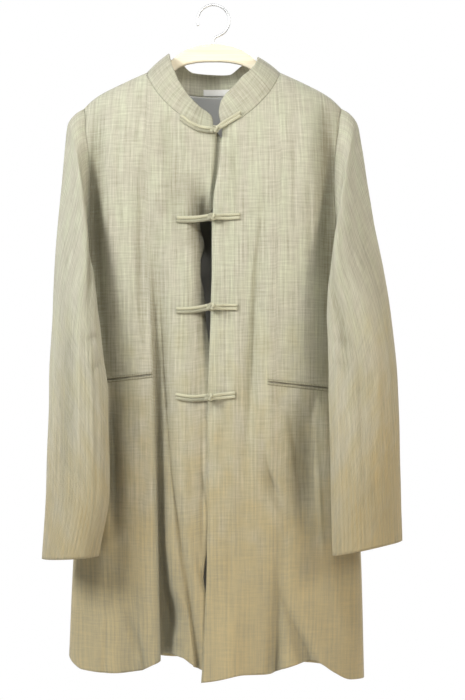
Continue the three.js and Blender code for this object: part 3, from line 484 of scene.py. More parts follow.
# Its folds, in degrees of turn from the outer edge over the front, and stations.
SLEEVE_FOLD_NAMES = "turn wide start end depth"
SLEEVE_FOLDS = {
    "left": [
        (120, 14, 4, 12, 5), (62, 18, 7, 17, -4), (250, 20, 5, 15, 7), (205, 16, 8, 17, 5),
        (96, 6, 9, 18, 1.2), (140, 5, 8, 17, -1.6), (38, 6, 5, 16, 1.4), (84, 5, 2, 8, 1.4),
    ],
    "right": [
        (118, 15, 0.5, 9, 9), (70, 18, 8, 17, 4), (250, 20, 5, 15, 7), (300, 16, 7, 16, 5),
        (92, 6, 8, 17, -1.4), (46, 6, 4, 14, 1.4), (130, 5, 9, 18, 1.6), (104, 4, 1, 6, 1.8),
    ],
}
SLEEVE_PULL_NAMES = "turn1 at1 turn2 at2 wide depth"
DEGREES_PER_STATION = 26  # a crease's width is measured in degrees of turn
SLEEVE_PULLS = {
    "left": [
        (70, 1.2, 110, 2.6, 7, 1.6), (150, 9.2, 95, 10.4, 6, 2.2), (160, 10.6, 110, 11.2, 6, 1.8),
        (60, 11.6, 120, 12.8, 7, 1.4), (165, 3.4, 130, 4.6, 8, 2.4), (60, 15.6, 110, 16.6, 7, 1.2),
    ],
    "right": [
        (66, 1.4, 104, 2.8, 7, 1.8), (158, 9, 100, 10.2, 6, 2.4), (165, 10.4, 118, 11.4, 6, 1.8),
        (120, 13, 60, 13.6, 7, 1.4), (160, 3.2, 128, 4.8, 8, 2.4), (70, 15, 118, 15.8, 7, 1.2),
    ],
}


def sleeve_fold(face, turn, at):
    depth = np.zeros(np.shape(turn))
    for fold in records(SLEEVE_FOLD_NAMES, SLEEVE_FOLDS[face]):
        off = (turn - fold["turn"] + 540) % 360 - 180
        along = np.clip((at - fold["start"]) / (fold["end"] - fold["start"]), 0, 1)
        depth += fold["depth"] * swell(off, fold["wide"]) * np.sin(math.pi * along)
    step = DEGREES_PER_STATION
    for pull in records(SLEEVE_PULL_NAMES, SLEEVE_PULLS[face]):
        ends = (pull["turn1"], pull["at1"] * step, pull["turn2"], pull["at2"] * step)
        depth += pull["depth"] * crease(turn, at * step, ends, pull["wide"])
    return depth


def sleeve_point(face, turn, at):
    row = {name: line(at) for name, line in SLEEVE[face].items()}
    c, s = np.cos(np.radians(turn)), np.sin(np.radians(turn))
    x = (row["outX"] + row["inX"]) / 2 + (row["outX"] - row["inX"]) * c / 2
    z = (row["outZ"] + row["inZ"]) / 2 + (row["outZ"] - row["inZ"]) * c / 2
    reach = np.abs(row["outX"] - row["inX"]) / 2
    y = row["mid"] - s * row["deep"] + row["slant"] * c * reach
    x = x - SIDE[face] * row["lap"] * np.maximum(s, 0)
    waves = ripple(s * SLEEVE_WAVE[0], at * SLEEVE_WAVE[1], WAVE_SEED[f"sleeve_{face}"])
    fold = sleeve_fold(face, turn, at) + CLOTH_WAVE * smoothstep(at, *SLEEVE_CALM) * waves
    return np.stack([x - SIDE[face] * c * fold, y + s * fold, z], axis=-1)


def sleeve_places(u, v):
    """Degrees of turn and stations. u runs round from the outer edge over the front, v down to the cuff."""
    return 360 * u, SLEEVE_END * v**SLEEVE_CROWD


def sleeve(face, u, v):
    turn, at = sleeve_places(u, v)
    front = (u <= 0.5)[..., None]
    arm_v = ARM_SHARE * np.where(u <= 0.5, 2 * u, 2 - 2 * u)
    one = np.ones_like(arm_v)
    back_u = SIDE[face] * one
    rim = np.where(front, panel(face, one, arm_v), panel("back", back_u, arm_v))
    near = np.where(front, panel(face, one * NEAR_RIM, arm_v), panel("back", back_u * NEAR_RIM, arm_v))
    away = rim - near
    away[..., 1] = 0
    rim = rim + unit(away) * SEAM
    keep = np.clip(1 - at / SEAM_BLEND, 0, 1) ** 2
    stray = rim - sleeve_point(face, turn, np.zeros_like(turn))
    return sleeve_point(face, turn, at) + stray * keep[..., None]


# ---- the collar ----
def collar_rim(around):
    """The neckline: 0 at the left front's edge, 1 and 3 at the sides, 2 at the back, 4 at the right."""
    top = np.zeros_like(around)
    left = panel("left", np.clip(around, 0, 1) * FRONT_NECK_SHARE, top)
    back = panel("back", (2 - np.clip(around, 1, 3)) * BACK_NECK_SHARE, top)
    right = panel("right", np.clip(4 - around, 0, 1) * FRONT_NECK_SHARE, top)
    return np.where((around < 1)[..., None], left, np.where((around > 3)[..., None], right, back))


def collar(u, v):
    """The collar band. u runs from its left end round the neck, v from its seam to its top."""
    around = 4 * u
    rim = collar_rim(around)
    ahead, behind = (collar_rim(np.clip(around + step, 0, 4)) for step in (COLLAR_STEP, -COLLAR_STEP))
    along = unit(ahead - behind)
    off = np.asarray(NECK_MIDDLE) - rim
    off = unit(off - along * np.sum(off * along, axis=-1, keepdims=True))
    sideways = np.clip(around - 2, -COLLAR_TURN, COLLAR_TURN) / COLLAR_TURN
    from_back = np.abs(around - 2)
    inwards = np.where(from_back > 1, 1, -1) * smoothstep(np.abs(from_back - 1), 0, COLLAR_TURN)
    inward, up, tilt = (COLLAR[name](around) for name in ("inward", "up", "tilt"))
    lean = np.stack([sideways * inward, inwards * tilt, up], -1)
    corner = np.clip(np.minimum(around, 4 - around) / COLLAR_CORNER, 0, 1)
    rise = v * (1 - COLLAR_ROUND * (1 - np.sqrt(1 - (1 - corner) ** 2)))
    bow = COLLAR_BULGE * np.sin(math.pi * v)
    outward = np.sin(math.pi * around / 2) ** 2
    bulge = np.stack([-sideways * bow * outward, -inwards * bow, 0 * v], -1)
    dent = sum(deep * swell(around - place, wide) * v for place, wide, deep in COLLAR_DENTS)
    toward = off * np.array([1, 1, 0])
    return rim + off * SEAM + lean * rise[..., None] + bulge + toward * dent[..., None]


# ---- making meshes ----
MELT = 1e-6  # points closer than this are one
FACING_STEP = 7  # every seventh face is asked which way a piece looks
RIDGE = -0.25  # the brightest that a ridge may be painted: painted light, as a negative painted shade


def shares(across, down, start=0.0, end=1.0):
    """How far across and down each point of a grid is."""
    return np.meshgrid(np.linspace(start, end, across + 1), np.linspace(0, 1, down + 1), indexing="ij")


def link_object(name, data):
    thing = bpy.data.objects.new(name, data)
    bpy.context.scene.collection.objects.link(thing)
    return thing


def object_of(name, shape):
    """An object made of a finished shape."""
    mesh = bpy.data.meshes.new(name)
    shape.to_mesh(mesh)
    shape.free()
    return link_object(name, mesh)


def flat_grid(across, down):
    """A flat grid as an operator makes it, and which column and row each of its points is in."""
    shape = bmesh.new()
    bmesh.ops.create_grid(shape, x_segments=across, y_segments=down, size=0.5)
    columns = [round((vert.co.x + 0.5) * across) for vert in shape.verts]
    rows = [round((0.5 - vert.co.y) * down) for vert in shape.verts]
    return shape, np.array(columns), np.array(rows)


def sheet_lengths(points):
    """How far each point lies along the cloth, across it and down it, in metres."""
    across = np.zeros(points.shape[:2])
    down = np.zeros(points.shape[:2])
    across[1:] = np.cumsum(np.linalg.norm(np.diff(points, axis=0), axis=-1), axis=0)
    down[:, 1:] = np.cumsum(np.linalg.norm(np.diff(points, axis=1), axis=-1), axis=1)
    return across * MM, down * MM


def facing(*way):
    """Says that a piece's outer face looks one way all over."""
    return lambda centre: Vector(way)


def away_from(x, y, z=None):
    """Says that a piece's outer face looks away from a place, or from an upright line."""
    return lambda centre: Vector((centre.x - x, centre.y - y, 0 if z is None else centre.z - z))


def grid_piece(name, points, cloth_map, outward, wall=0, closed=False, folds=None):
    """A piece of cloth from points[i, j] in millimetres, its wall turned inwards."""
    shape, columns, rows = flat_grid(points.shape[0] - 1, points.shape[1] - 1)
    for vert, place in zip(shape.verts, (points[columns, rows] * MM).tolist()):
        vert.co = place
    # Painted shade at each point, dark in troughs and light on ridges, kept as an attribute for the cloth's
    # colour.
    if folds is not None:
        troughs = shape.verts.layers.float.new("PaintedShade")
        for vert, depth in zip(shape.verts, folds[columns, rows].tolist()):
            vert[troughs] = depth
    layer = shape.loops.layers.uv.new("Cloth")
    shape.verts.index_update()
    places = list(zip(*(part[columns, rows].tolist() for part in cloth_map)))
    for face in shape.faces:
        for loop in face.loops:
            loop[layer].uv = places[loop.vert.index]
    if closed:
        bmesh.ops.remove_doubles(shape, verts=shape.verts, dist=MELT)
    shape.normal_update()
    faces = list(shape.faces)[::FACING_STEP]
    if sum(face.normal.dot(outward(face.calc_center_median())) for face in faces) < 0:
        bmesh.ops.reverse_faces(shape, faces=shape.faces)
    for face in shape.faces:
        face.smooth = True
    piece = object_of(name, shape)
    if wall:
        solid = piece.modifiers.new("wall", "SOLIDIFY")
        solid.thickness = wall
        solid.offset = -1
    return piece


def finish_piece(piece, material, slot, *nodes):
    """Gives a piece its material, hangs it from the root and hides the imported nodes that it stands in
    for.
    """
    piece.data.materials.append(material)
    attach(piece, "root")
    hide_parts(*nodes)


def trough(depth):
    """0 on the flat and 1 in a deep trough, for the painted shade of a fold; a ridge is a little below 0,
    which paints it a little lighter.
    """
    return np.clip(depth / FOLD_DEEP, RIDGE, 1)


def declare_cloth(points):
    """Works out the piece's size and area laid flat, and does nothing further with them."""
    width, length = (float(part.max()) for part in sheet_lengths(points))
    edge_u = np.diff(points, axis=0)[:, :-1]
    edge_v = np.diff(points, axis=1)[:-1]
    area = float(np.linalg.norm(np.cross(edge_u, edge_v), axis=-1).sum()) * MM * MM
    area = min(area, width * length)


def grain(points, follow=0.18):
    """The cloth's own coordinates: stripes hang nearly straight and bend a little with the folds."""
    across, down = sheet_lengths(points)
    side = np.sign(points[-1, 0, 0] - points[0, 0, 0])
    start = points[0, :, 0] * MM
    along = start[None, :] + side * across
    level = lerp(points[..., 2] * MM, points[:, :1, 2] * MM - down, follow)
    return lerp(points[..., 0] * MM, along, follow), level


# ---- the maths of materials ----
MIX_INPUTS = (0, 6, 7)  # where a Mix node takes its factor and its two colours
MIX_COLOUR = 2  # where it gives a colour


class Wire:
    """A node's output socket, so that a pattern is written as a sum."""

    def __init__(self, finish, socket):
        self.finish = finish
        self.socket = socket

    def maths(self, operation, *values):
        return self.finish.add("ShaderNodeMath", {"operation": operation}, dict(enumerate(values)))

    def __add__(self, other):
        return self.maths("ADD", self, other)

    def __radd__(self, other):
        return self.maths("ADD", other, self)

    def __sub__(self, other):
        return self.maths("SUBTRACT", self, other)

    def __rsub__(self, other):
        return self.maths("SUBTRACT", other, self)

    def __mul__(self, other):
        return self.maths("MULTIPLY", self, other)

    def __rmul__(self, other):
        return self.maths("MULTIPLY", other, self)

    def wave(self, pitch):
        """A wave along a coordinate, with so much from one crest to the next."""
        return self.maths("SINE", self * (TURN / pitch))

    def above(self, low, high):
        """0 below low and 1 above high, with a soft step between."""
        settings = {"interpolation_type": "SMOOTHSTEP", "clamp": True}
        inputs = {"Value": self, "From Min": low, "From Max": high}
        return self.finish.add("ShaderNodeMapRange", settings, inputs)


class Finish:
    """The nodes of a material or a world, added one call at a time."""

    def __init__(self, owner):
        self.owner = owner
        owner.use_nodes = True
        self.tree = owner.node_tree
        self.tree.nodes.clear()

    def add(self, kind, settings=None, inputs=None, output=0):
        node = self.tree.nodes.new(kind)
        for name, value in (settings or {}).items():
            setattr(node, name, value)
        for name, value in (inputs or {}).items():
            if isinstance(value, Wire):
                self.tree.links.new(value.socket, node.inputs[name])
            else:
                node.inputs[name].default_value = value
        return Wire(self, node.outputs[output] if node.outputs else None)

    def cloth(self):
        """The piece's own cloth coordinates, in metres."""
        return self.add("ShaderNodeUVMap", {"uv_map": "Cloth"})

    def place(self, kind="Object"):
        return self.add("ShaderNodeTexCoord", None, None, kind)

    def parts(self, place):
        first = self.add("ShaderNodeSeparateXYZ", None, {0: place})
        return [Wire(self, socket) for socket in first.socket.node.outputs]

    def flecks(self, place, scales, detail=2, rough=0.5):
        """Noise about a half, with so many flecks a metre along each coordinate."""
        stretched = self.add("ShaderNodeVectorMath", {"operation": "MULTIPLY"}, {0: place, 1: scales})
        inputs = {"Vector": stretched, "Scale": 1, "Detail": detail, "Roughness": rough}
        return self.add("ShaderNodeTexNoise", None, inputs)

    def blend(self, share, *two):
        """A colour between two others, each of them a socket or a plain colour."""
        two = [colour if isinstance(colour, Wire) else (*colour[:3], 1) for colour in two]
        settings = {"data_type": "RGBA", "blend_type": "MIX"}
        return self.add("ShaderNodeMix", settings, dict(zip(MIX_INPUTS, (share, *two))), MIX_COLOUR)

    def bump(self, height, distance, strength=1):
        inputs = {"Height": height, "Distance": distance, "Strength": strength}
        return self.add("ShaderNodeBump", None, inputs)

    def surface(self, colour, roughness, normal=None, **others):
        """The finished material, from its shader's inputs."""
        inputs = {"Base Color": colour, "Roughness": roughness}
        if normal:
            inputs["Normal"] = normal
        inputs.update({name.replace("_", " "): value for name, value in others.items()})
        shader = self.add("ShaderNodeBsdfPrincipled", None, inputs)
        self.add("ShaderNodeOutputMaterial", None, {"Surface": shader})
        return self.owner


def made(name, maker):
    """A material by its name, made the first time it is asked for."""
    return bpy.data.materials.get(name) or maker(Finish(bpy.data.materials.new(name)), colours())


# The coat's cloth: flecks a metre across and along it, detail, roughness, and how much they shade it.
FLECKS = {
    "bands": ((50, 0.8, 1), 1, 0.5, 0.3),
    "patches": ((34, 20, 1), 2, 0.5, 0.3),
    "streaks": ((260, 7, 1), 2, 0.6, 0.62),
    "warp": ((620, 22, 1), 3, 0.65, 1.1),
    "weft": ((30, 380, 1), 3, 0.65, 0.85),
}
SHADE = {"middle": 0.62, "stripe": 0.08, "twill": 0.02}
STRIPE = {"wander": 0.022, "wander_flecks": (14, 1.2, 1), "strength_flecks": (60, 5, 1), "turn": 0.15}
# Painted shade and warmth: the cloth is painted darker and warmer low on the coat, with a patchy edge, and
# down the outside of the left arm, where light falls off and warms.
PAINTED_LOW_SHADE = {"patchy": 0.42, "low": (0.43, 0.91), "most": 0.95}
PAINTED_ARM_SHADE = {"side": (0.2, 0.3), "low": (0.2, 0.5), "most": 0.5}
SLIT_PAINTED_SHADE = (1, 2.3)  # a value beyond any trough's painted shade: the painted shadow inside a pocket's slit


def coat_cloth(finish, colours):
    """A dry woven cloth: uneven bands and stripes along the warp, slubs both ways and a small twill, with
    painted shade in fold troughs and pockets' slits, painted light on ridges, and painted darker, warmer
    shade low down.
    """
    cloth = finish.cloth()
    across, along, _ = finish.parts(cloth)
    flecks = {name: finish.flecks(cloth, *row[:3]) for name, row in FLECKS.items()}
    wander = finish.flecks(cloth, STRIPE["wander_flecks"]) * STRIPE["wander"]
    strength = finish.flecks(cloth, STRIPE["strength_flecks"]).above(0.3, 0.7)
    stripe = (across + wander).wave(sizes().stripe_pitch)
    leaning = stripe.above(-STRIPE["turn"], STRIPE["turn"]) * 2 - 1
    twill = (along + across * leaning).wave(sizes().twill_pitch)
    # Painted shade laid on each point: dark in the troughs of folds, a little light on ridges, darkest in
    # pockets' slits.
    fold = finish.add("ShaderNodeAttribute", {"attribute_name": "PaintedShade"}, None, "Fac")
    shade = stripe * strength * SHADE["stripe"] + twill * SHADE["twill"] + SHADE["middle"]
    for name, row in FLECKS.items():
        shade = shade + (flecks[name] - 0.5) * row[3]
    x, _, z = finish.parts(finish.place())
    # Painted shade and warmth: darker, warmer tone low on the coat with a patchy edge, and down the outside
    # of the left arm.
    painted_tan = ((flecks["patches"] - 0.5) * PAINTED_LOW_SHADE["patchy"] - z).above(*PAINTED_LOW_SHADE["low"]) * PAINTED_LOW_SHADE["most"]
    painted_tan = painted_tan + x.above(*PAINTED_ARM_SHADE["side"]) * (0 - z).above(*PAINTED_ARM_SHADE["low"]) * PAINTED_ARM_SHADE["most"]
    # Painted shade: the troughs of folds are darkened, and the stripes show more where the painted low
    # shade lies.
    shade = shade + stripe * strength * painted_tan * SHADE["stripe"] - fold * sizes().fading
    hue = (flecks["bands"] * 0.5 + flecks["patches"] * 0.5).above(0.38, 0.62)
    light = finish.blend(hue, colours.yarn_mauve, colours.yarn_green)
    light = finish.blend(painted_tan, light, colours.painted_shade_tan)
    colour = finish.blend(shade, colours.yarn_dark, light)
    # Painted shadow on the inside of a pocket's slit.
    colour = finish.blend(fold.above(*SLIT_PAINTED_SHADE), colour, colours.slit)
    relief = twill * 0.5 + flecks["warp"] * 1.2 + flecks["weft"] * 0.8
    roughness = 0.81 + flecks["warp"] * 0.1
    dry = {"Sheen_Weight": 0.18, "Sheen_Roughness": 0.5, "Specular_IOR_Level": 0.25}
    return finish.surface(colour, roughness, finish.bump(relief, 0.00018, 0.9), **dry)


LINING_TWILL = 0.0009
LINING_SHADE_DEPTHS = (0.15, 0.25)  # the depths below the hook between which the lining is painted darker, as painted shade inside the coat


def lining_cloth(finish, colours):
    """A smooth lining with a faint twill and a slight shine, painted darker below the neck as painted shade
    inside the coat.
    """
    cloth = finish.cloth()
    across, along, _ = finish.parts(cloth)
    twill = (across + along).wave(LINING_TWILL)
    clouds = finish.flecks(cloth, (9, 5, 1))
    colour = finish.blend(clouds.above(0.3, 0.7), colours.lining, colours.lining_light)
    # Painted shade: the lining is painted darker below the neck.
    inside = (0 - finish.parts(finish.place())[2]).above(*LINING_SHADE_DEPTHS)
    colour = finish.blend(inside, colour, colours.lining_painted_shade)
    normal = finish.bump(twill, 0.00006, 0.6)
    return finish.surface(colour, 0.5 + clouds * 0.15, normal, Sheen_Weight=0.3)


def label_cloth(finish, colours):
    threads = finish.flecks(finish.cloth(), (300, 2600, 1))
    colour = finish.blend(threads, [0.86 * part for part in colours.label], colours.label)
    return finish.surface(colour, 0.55, finish.bump(threads, 0.0001))


CORD_TWILL = 0.0016


def cord_cloth(finish, colours):
    """The frogs' cord: the coat's own cloth, cut on the bias and rolled."""
    cloth = finish.cloth()
    across, along, _ = finish.parts(cloth)
    bias = (across + along).wave(CORD_TWILL)
    slubs = finish.flecks(cloth, (500, 900, 1), 3, 0.6)
    shade = 0.78 + bias * 0.08 + (slubs - 0.5) * 0.6
    colour = finish.blend(shade, colours.yarn_dark, colours.yarn_warm)
    return finish.surface(colour, 0.85, finish.bump(bias + slubs, 0.0002), Sheen_Weight=0.15)


def pale_wood(finish, colours):
    """Pale lacquered wood with its grain along the arms."""
    place = finish.place()
    lines_of_grain = finish.flecks(place, (9, 260, 420), 4, 0.6)
    rings = finish.flecks(place, (3, 40, 60))
    share = lines_of_grain * 0.55 + rings * 0.45
    colour = finish.blend(share.above(0.35, 0.68), colours.wood, colours.wood_dark)
    normal = finish.bump(lines_of_grain, 0.0001, 0.4)
    return finish.surface(colour, 0.36 + lines_of_grain * 0.14, normal, Coat_Weight=0.25)


def polished_steel(finish, colours):
    drawn = finish.flecks(finish.place(), (900, 900, 60))
    return finish.surface((*colours.steel, 1), 0.36 + drawn * 0.12, Metallic=1)


def plain_floor(finish, colours):
    grit = finish.flecks(finish.place(), (30, 30, 30))
    return finish.surface((*colours.floor, 1), 0.75 + grit * 0.1)


# ---- what a user would change ----
def colour_property(name, description, default):
    return bpy.props.FloatVectorProperty(
        name=name, description=description, default=default, size=3, min=0, max=1, subtype="COLOR"
    )


def length_property(name, description, default):
    return bpy.props.FloatProperty(
        name=name, description=description, default=default, min=0, unit="LENGTH", precision=4
    )


class CoatSizes(bpy.types.PropertyGroup):
    """Sizes of the coat's cloth and cords."""

    wall: length_property("Cloth", "Thickness of the coat cloth", 0.002)
    collar_wall: length_property("Collar", "Thickness of the stiffened collar", 0.0024)
    lining_wall: length_property("Lining", "Thickness of the lining", 0.0008)
    thin_wall: length_property("Label and jets", "Thickness of the label and the jets", 0.0006)
    cord_radius: length_property("Cord", "Radius of the frogs' cord", 0.0025)
    cord_gap: length_property("Cord spacing", "Between the two cords of a frog", 0.0055)
    stripe_pitch: length_property("Stripe", "From one stripe to the next", 0.0068)
    twill_pitch: length_property("Twill", "From one twill line to the next", 0.0011)
    # How strong the painted shade in the troughs of the folds is.
    fading: bpy.props.FloatProperty(
        name="Painted_fold_shade", description="How much darker the troughs of the folds are", default=0.58, min=0
    )


class CoatColours(bpy.types.PropertyGroup):
    """Colours of the coat, its lining and its hanger."""

    yarn_green: colour_property("Green yarn", "Light yarn that leans to green", (0.635, 0.645, 0.495))
    yarn_mauve: colour_property("Mauve yarn", "Light yarn that leans to mauve", (0.665, 0.64, 0.525))
    # Painted shade and warmth laid low on the coat and down the outside of the left arm.
    painted_shade_tan: colour_property("Tan yarn", "Yarn as it has yellowed towards the hem", (0.515, 0.413, 0.22))
    yarn_warm: colour_property("Cord yarn", "Light yarn of the cords", (0.74, 0.72, 0.52))
    yarn_dark: colour_property("Dark yarn", "Dark yarn of the cloth", (0.29, 0.27, 0.19))
    # Painted shadow inside a pocket's slit.
    slit: colour_property("Slit", "The dark inside of a pocket's slit", (0.06, 0.055, 0.04))
    lining: colour_property("Lining", "Darker part of the lining", (0.55, 0.555, 0.55))
    lining_light: colour_property("Lining light", "Lighter part of the lining", (0.63, 0.635, 0.63))
    # Painted shade on the lining below the neck.
    lining_painted_shade: colour_property("Lining within", "The lining below the neck", (0.34, 0.33, 0.30))
    label: colour_property("Label", "The bare neck label", (0.97, 0.965, 0.94))
    wood: colour_property("Wood", "Light wood of the hanger", (0.93, 0.86, 0.68))
    wood_dark: colour_property("Wood grain", "Darker grain of the hanger", (0.86, 0.75, 0.53))
    steel: colour_property("Steel", "The hook", (0.82, 0.83, 0.84))
    floor: colour_property("Floor", "The studio's floor", (0.86, 0.86, 0.85))


def sizes():
    return bpy.context.scene.coat_sizes


def colours():
    return bpy.context.scene.coat_colours


# ---- the pieces ----
PANEL_GRID = {"left": (110, 290), "right": (120, 300), "back": (130, 200)}
SLEEVE_GRID = (120, 200)
COLLAR_GRID = (260, 18)
LINING_GRID = (90, 130)
LABEL_GRID = (24, 8)


def coat_piece(name, node, points, cloth_map, outward, folds, wall=None, closed=False):
    """A hung piece of the coat's own cloth, which stands in for a packed one."""
    piece = grid_piece(name, points, cloth_map, outward, wall or sizes().wall, closed, folds)
    finish_piece(piece, made("striped_linen_wool", coat_cloth), "shell", node)
    declare_cloth(points)


class COAT_OT_panels(bpy.types.Operator):
    """Make the two fronts and the back"""

    bl_idname = "coat.panels"
    bl_label = "Fronts and back"

    def execute(self, context):
        for face, grid in PANEL_GRID.items():
            back = face == "back"
            u, v = shares(*grid, -1.0 if back else 0.0)
            points = panel(face, u, v)
            node = face if back else f"front_{face}"
            outward = facing(0, 1 if back else -1, 0)
            # Painted shade in the troughs of the panels' folds.
            folds = trough(fold_at(face, points[..., 0], points[..., 2]))
            coat_piece(f"{node}_cloth", node, points, grain(points), outward, folds)
        return {"FINISHED"}


SLEEVE_TROUGH = 2.4  # how much stronger the painted shade in a sleeve's folds is than in the body's


class COAT_OT_sleeves(bpy.types.Operator):
    """Make the two sleeves, open at the cuffs"""

    bl_idname = "coat.sleeves"
    bl_label = "Sleeves"

    def execute(self, context):
        for face in SLEEVE:
            u, v = shares(*SLEEVE_GRID)
            points = sleeve(face, u, v)
            x, y, _ = points.mean(axis=(0, 1)) * MM
            across, down = sheet_lengths(points)
            girth = across[-1:]
            around = (across / girth).mean(axis=1, keepdims=True)
            cloth_map = ((around - 0.5) * girth, -down)
            # Painted shade in the troughs of the sleeves' folds, made stronger than the body's.
            folds = trough(SLEEVE_TROUGH * sleeve_fold(face, *sleeve_places(u, v)))
            node = f"sleeve_{face}"
            coat_piece(f"{node}_cloth", node, points, cloth_map, away_from(x, y), folds, closed=True)
        return {"FINISHED"}


COLLAR_SHADE = (0.16, -0.22)  # painted shade on the band in front, and painted light behind, where the value is negative
COLLAR_SHADE_EASE = 0.3
COLLAR_CENTRE = (0, 0, -0.14)


class COAT_OT_collar(bpy.types.Operator):
    """Make the stand collar"""

    bl_idname = "coat.collar"
    bl_label = "Collar"

    def execute(self, context):
        u, v = shares(*COLLAR_GRID)
        points = collar(u, v)
        across, down = sheet_lengths(points)
        middle = COLLAR_GRID[1] // 2
        cloth_map = (np.broadcast_to(across[:, middle : middle + 1], across.shape), down)
        # Painted shade over the front of the band, painted light over its back.
        behind = smoothstep(1 - np.abs(4 * u - 2), 0, COLLAR_SHADE_EASE)
        folds = lerp(*COLLAR_SHADE, behind)
        outward = away_from(*COLLAR_CENTRE)
        coat_piece("collar_band", "collar", points, cloth_map, outward, folds, sizes().collar_wall)
        return {"FINISHED"}


LINING_BEHIND = 3.2  # from the outer face of the coat
LINING_SIDE = 0.94  # how far it reaches to each side seam
LINING_LENGTH = 0.965  # how far it reaches to the hem
LINING_LIFT = 0.3  # at the shoulders its outer side is the one that looks up


def lining(u, v):
    """The lining of the back."""
    points = panel("back", u, v * LINING_LENGTH)
    steps = [np.gradient(points, axis=axis) for axis in (0, 1)]
    normal = unit(np.cross(steps[0], steps[1]))
    normal = normal * np.where(normal[..., 1:2] + LINING_LIFT * normal[..., 2:3] < 0, -1, 1)
    return points - normal * LINING_BEHIND


def outer_face(name):
    """A piece's outer face, to find places on."""
    mesh = bpy.data.objects[name].data
    places = [vert.co[:] for vert in mesh.vertices]
    return BVHTree.FromPolygons(places, [face.vertices[:] for face in mesh.polygons])


LABEL = {"x": (-16, 26.5), "z": (-137.6, -126.6), "foot": -136.5, "lift": 0.9, "bow": 0.4, "curl": 0.15}


def inner_collar(tree, x, z):
    """How far back the inside of the collar's back is."""
    place = Vector((x * MM, 0, max(z, LABEL["foot"]) * MM))
    hit = tree.ray_cast(place, Vector((0, 1, 0)))[0]
    return (hit.y - sizes().collar_wall) / MM


def neck_label():
    """The label's places, a little in front of the collar's inside."""
    u, v = shares(*LABEL_GRID)
    x, z = lerp(*LABEL["x"], u), lerp(*LABEL["z"], v)
    tree = outer_face("collar_band")
    y = [[inner_collar(tree, *place) for place in zip(*column)] for column in zip(x, z)]
    bow = LABEL["bow"] * np.sin(math.pi * v) + LABEL["curl"] * np.sin(7 * u)
    return np.stack([x, np.array(y) - LABEL["lift"] - bow, z], -1)


class COAT_OT_lining(bpy.types.Operator):
    """Make the lining that shows at the neck and between the fronts, and its bare label"""

    bl_idname = "coat.lining"
    bl_label = "Lining and label"

    def execute(self, context):
        points = lining(*shares(*LINING_GRID, -LINING_SIDE, LINING_SIDE))
        piece = grid_piece("lining_cloth", points, grain(points), facing(0, 1, 0), sizes().lining_wall)
        finish_piece(piece, made("lining_twill", lining_cloth), "lining", "lining_back")
        declare_cloth(points)
        points = neck_label()
        cloth_map = sheet_lengths(points)
        piece = grid_piece("neck_label_cloth", points, cloth_map, facing(0, -1, 0), sizes().thin_wall)
        finish_piece(piece, made("label_satin", label_cloth), "label", "neck_label")
        declare_cloth(points)
        return {"FINISHED"}


# ---- what lies on the fronts ----
LOOK = (-0.3, 0.29)  # where a look straight at the coat's front starts from, and how far it goes
HOLLOW = 4  # how deep a hollow is before a cord bridges it


def seen_from_front(tree, x, z):
    """What a look straight at the coat's front meets there."""
    return tree.ray_cast(Vector((x * MM, LOOK[0], z * MM)), Vector((0, 1, 0)), LOOK[1])[0]


def face_depth(trees, x, z):
    """The front of the coat at a place, in millimetres, bridging its hollows."""
    hits = [seen_from_front(tree, x, z) for tree in trees]
    plain = BODY["side"](z) - BODY["front"](z) * shoulder_roll(x, z) + HOLLOW
    return min([float(plain)] + [hit.y / MM for hit in hits if hit])


POCKETS = {"left": ((84, -588), (182, -599)), "right": ((-93, -577), (-172, -586))}
JETS_GRID = (70, 24)
JETS = {"height": 9.2, "round": 0.8, "full": 0.6, "rest": 0.7, "ends": 9, "slit": 0.26, "deep": 1.2}
# Painted shade on the jets: over all of them, darkest in the slit, and along their edges.
JETS_SHADE = {"plain": 0.5, "slit": 2.4, "edge": 0.7, "edge_sharp": 8}


def jets(face):
    """A pocket's two rolled strips with a slit between, and the painted shade laid on them."""
    tree = outer_face(f"front_{face}_cloth")
    inner, outer = POCKETS[face]
    rows, shades = [], []
    for s in np.linspace(0, 1, JETS_GRID[0] + 1):
        x, z = (lerp(start, end, s) for start, end in zip(inner, outer))
        ends = min(1, JETS["ends"] * s, JETS["ends"] * (1 - s)) ** 0.5
        gaping = ends * (0.75 + 0.35 * math.sin(9 * s + 1) * math.sin(4 * s))
        row, shade = [], []
        for t in np.linspace(1, -1, JETS_GRID[1] + 1):
            place = z + t * JETS["height"] / 2
            roll = abs(math.sin(math.pi * t)) ** JETS["full"] * JETS["round"] * ends
            slit = gaping * swell(t, JETS["slit"])
            cloth = seen_from_front(tree, x, place).y / MM
            row.append((x, cloth - JETS["rest"] - roll + JETS["deep"] * slit, place))
            edge = JETS_SHADE["edge"] * abs(t) ** JETS_SHADE["edge_sharp"]
            shade.append(JETS_SHADE["plain"] + JETS_SHADE["slit"] * slit + edge)
        rows.append(row)
        shades.append(shade)
    return np.array(rows), np.array(shades)


class COAT_OT_pockets(bpy.types.Operator):
    """Make the two jetted pockets, each a pair of rolled strips with a slit between"""

    bl_idname = "coat.pockets"
    bl_label = "Pockets"

    def execute(self, context):
        for face in POCKETS:
            points, folds = jets(face)
            down = sheet_lengths(points)[1]
            cloth_map = (points[..., 0] * MM, points[:, :1, 2] * MM - down)
            name, wall = f"pocket_{face}_welts", sizes().thin_wall
            piece = grid_piece(name, points, cloth_map, facing(0, -1, 0), wall, folds=folds)
            nodes = [f"pocket_{face}_{row}_jet" for row in ("upper", "lower")]
            finish_piece(piece, made("striped_linen_wool", coat_cloth), "shell", *nodes)
            declare_cloth(points)
        return {"FINISHED"}


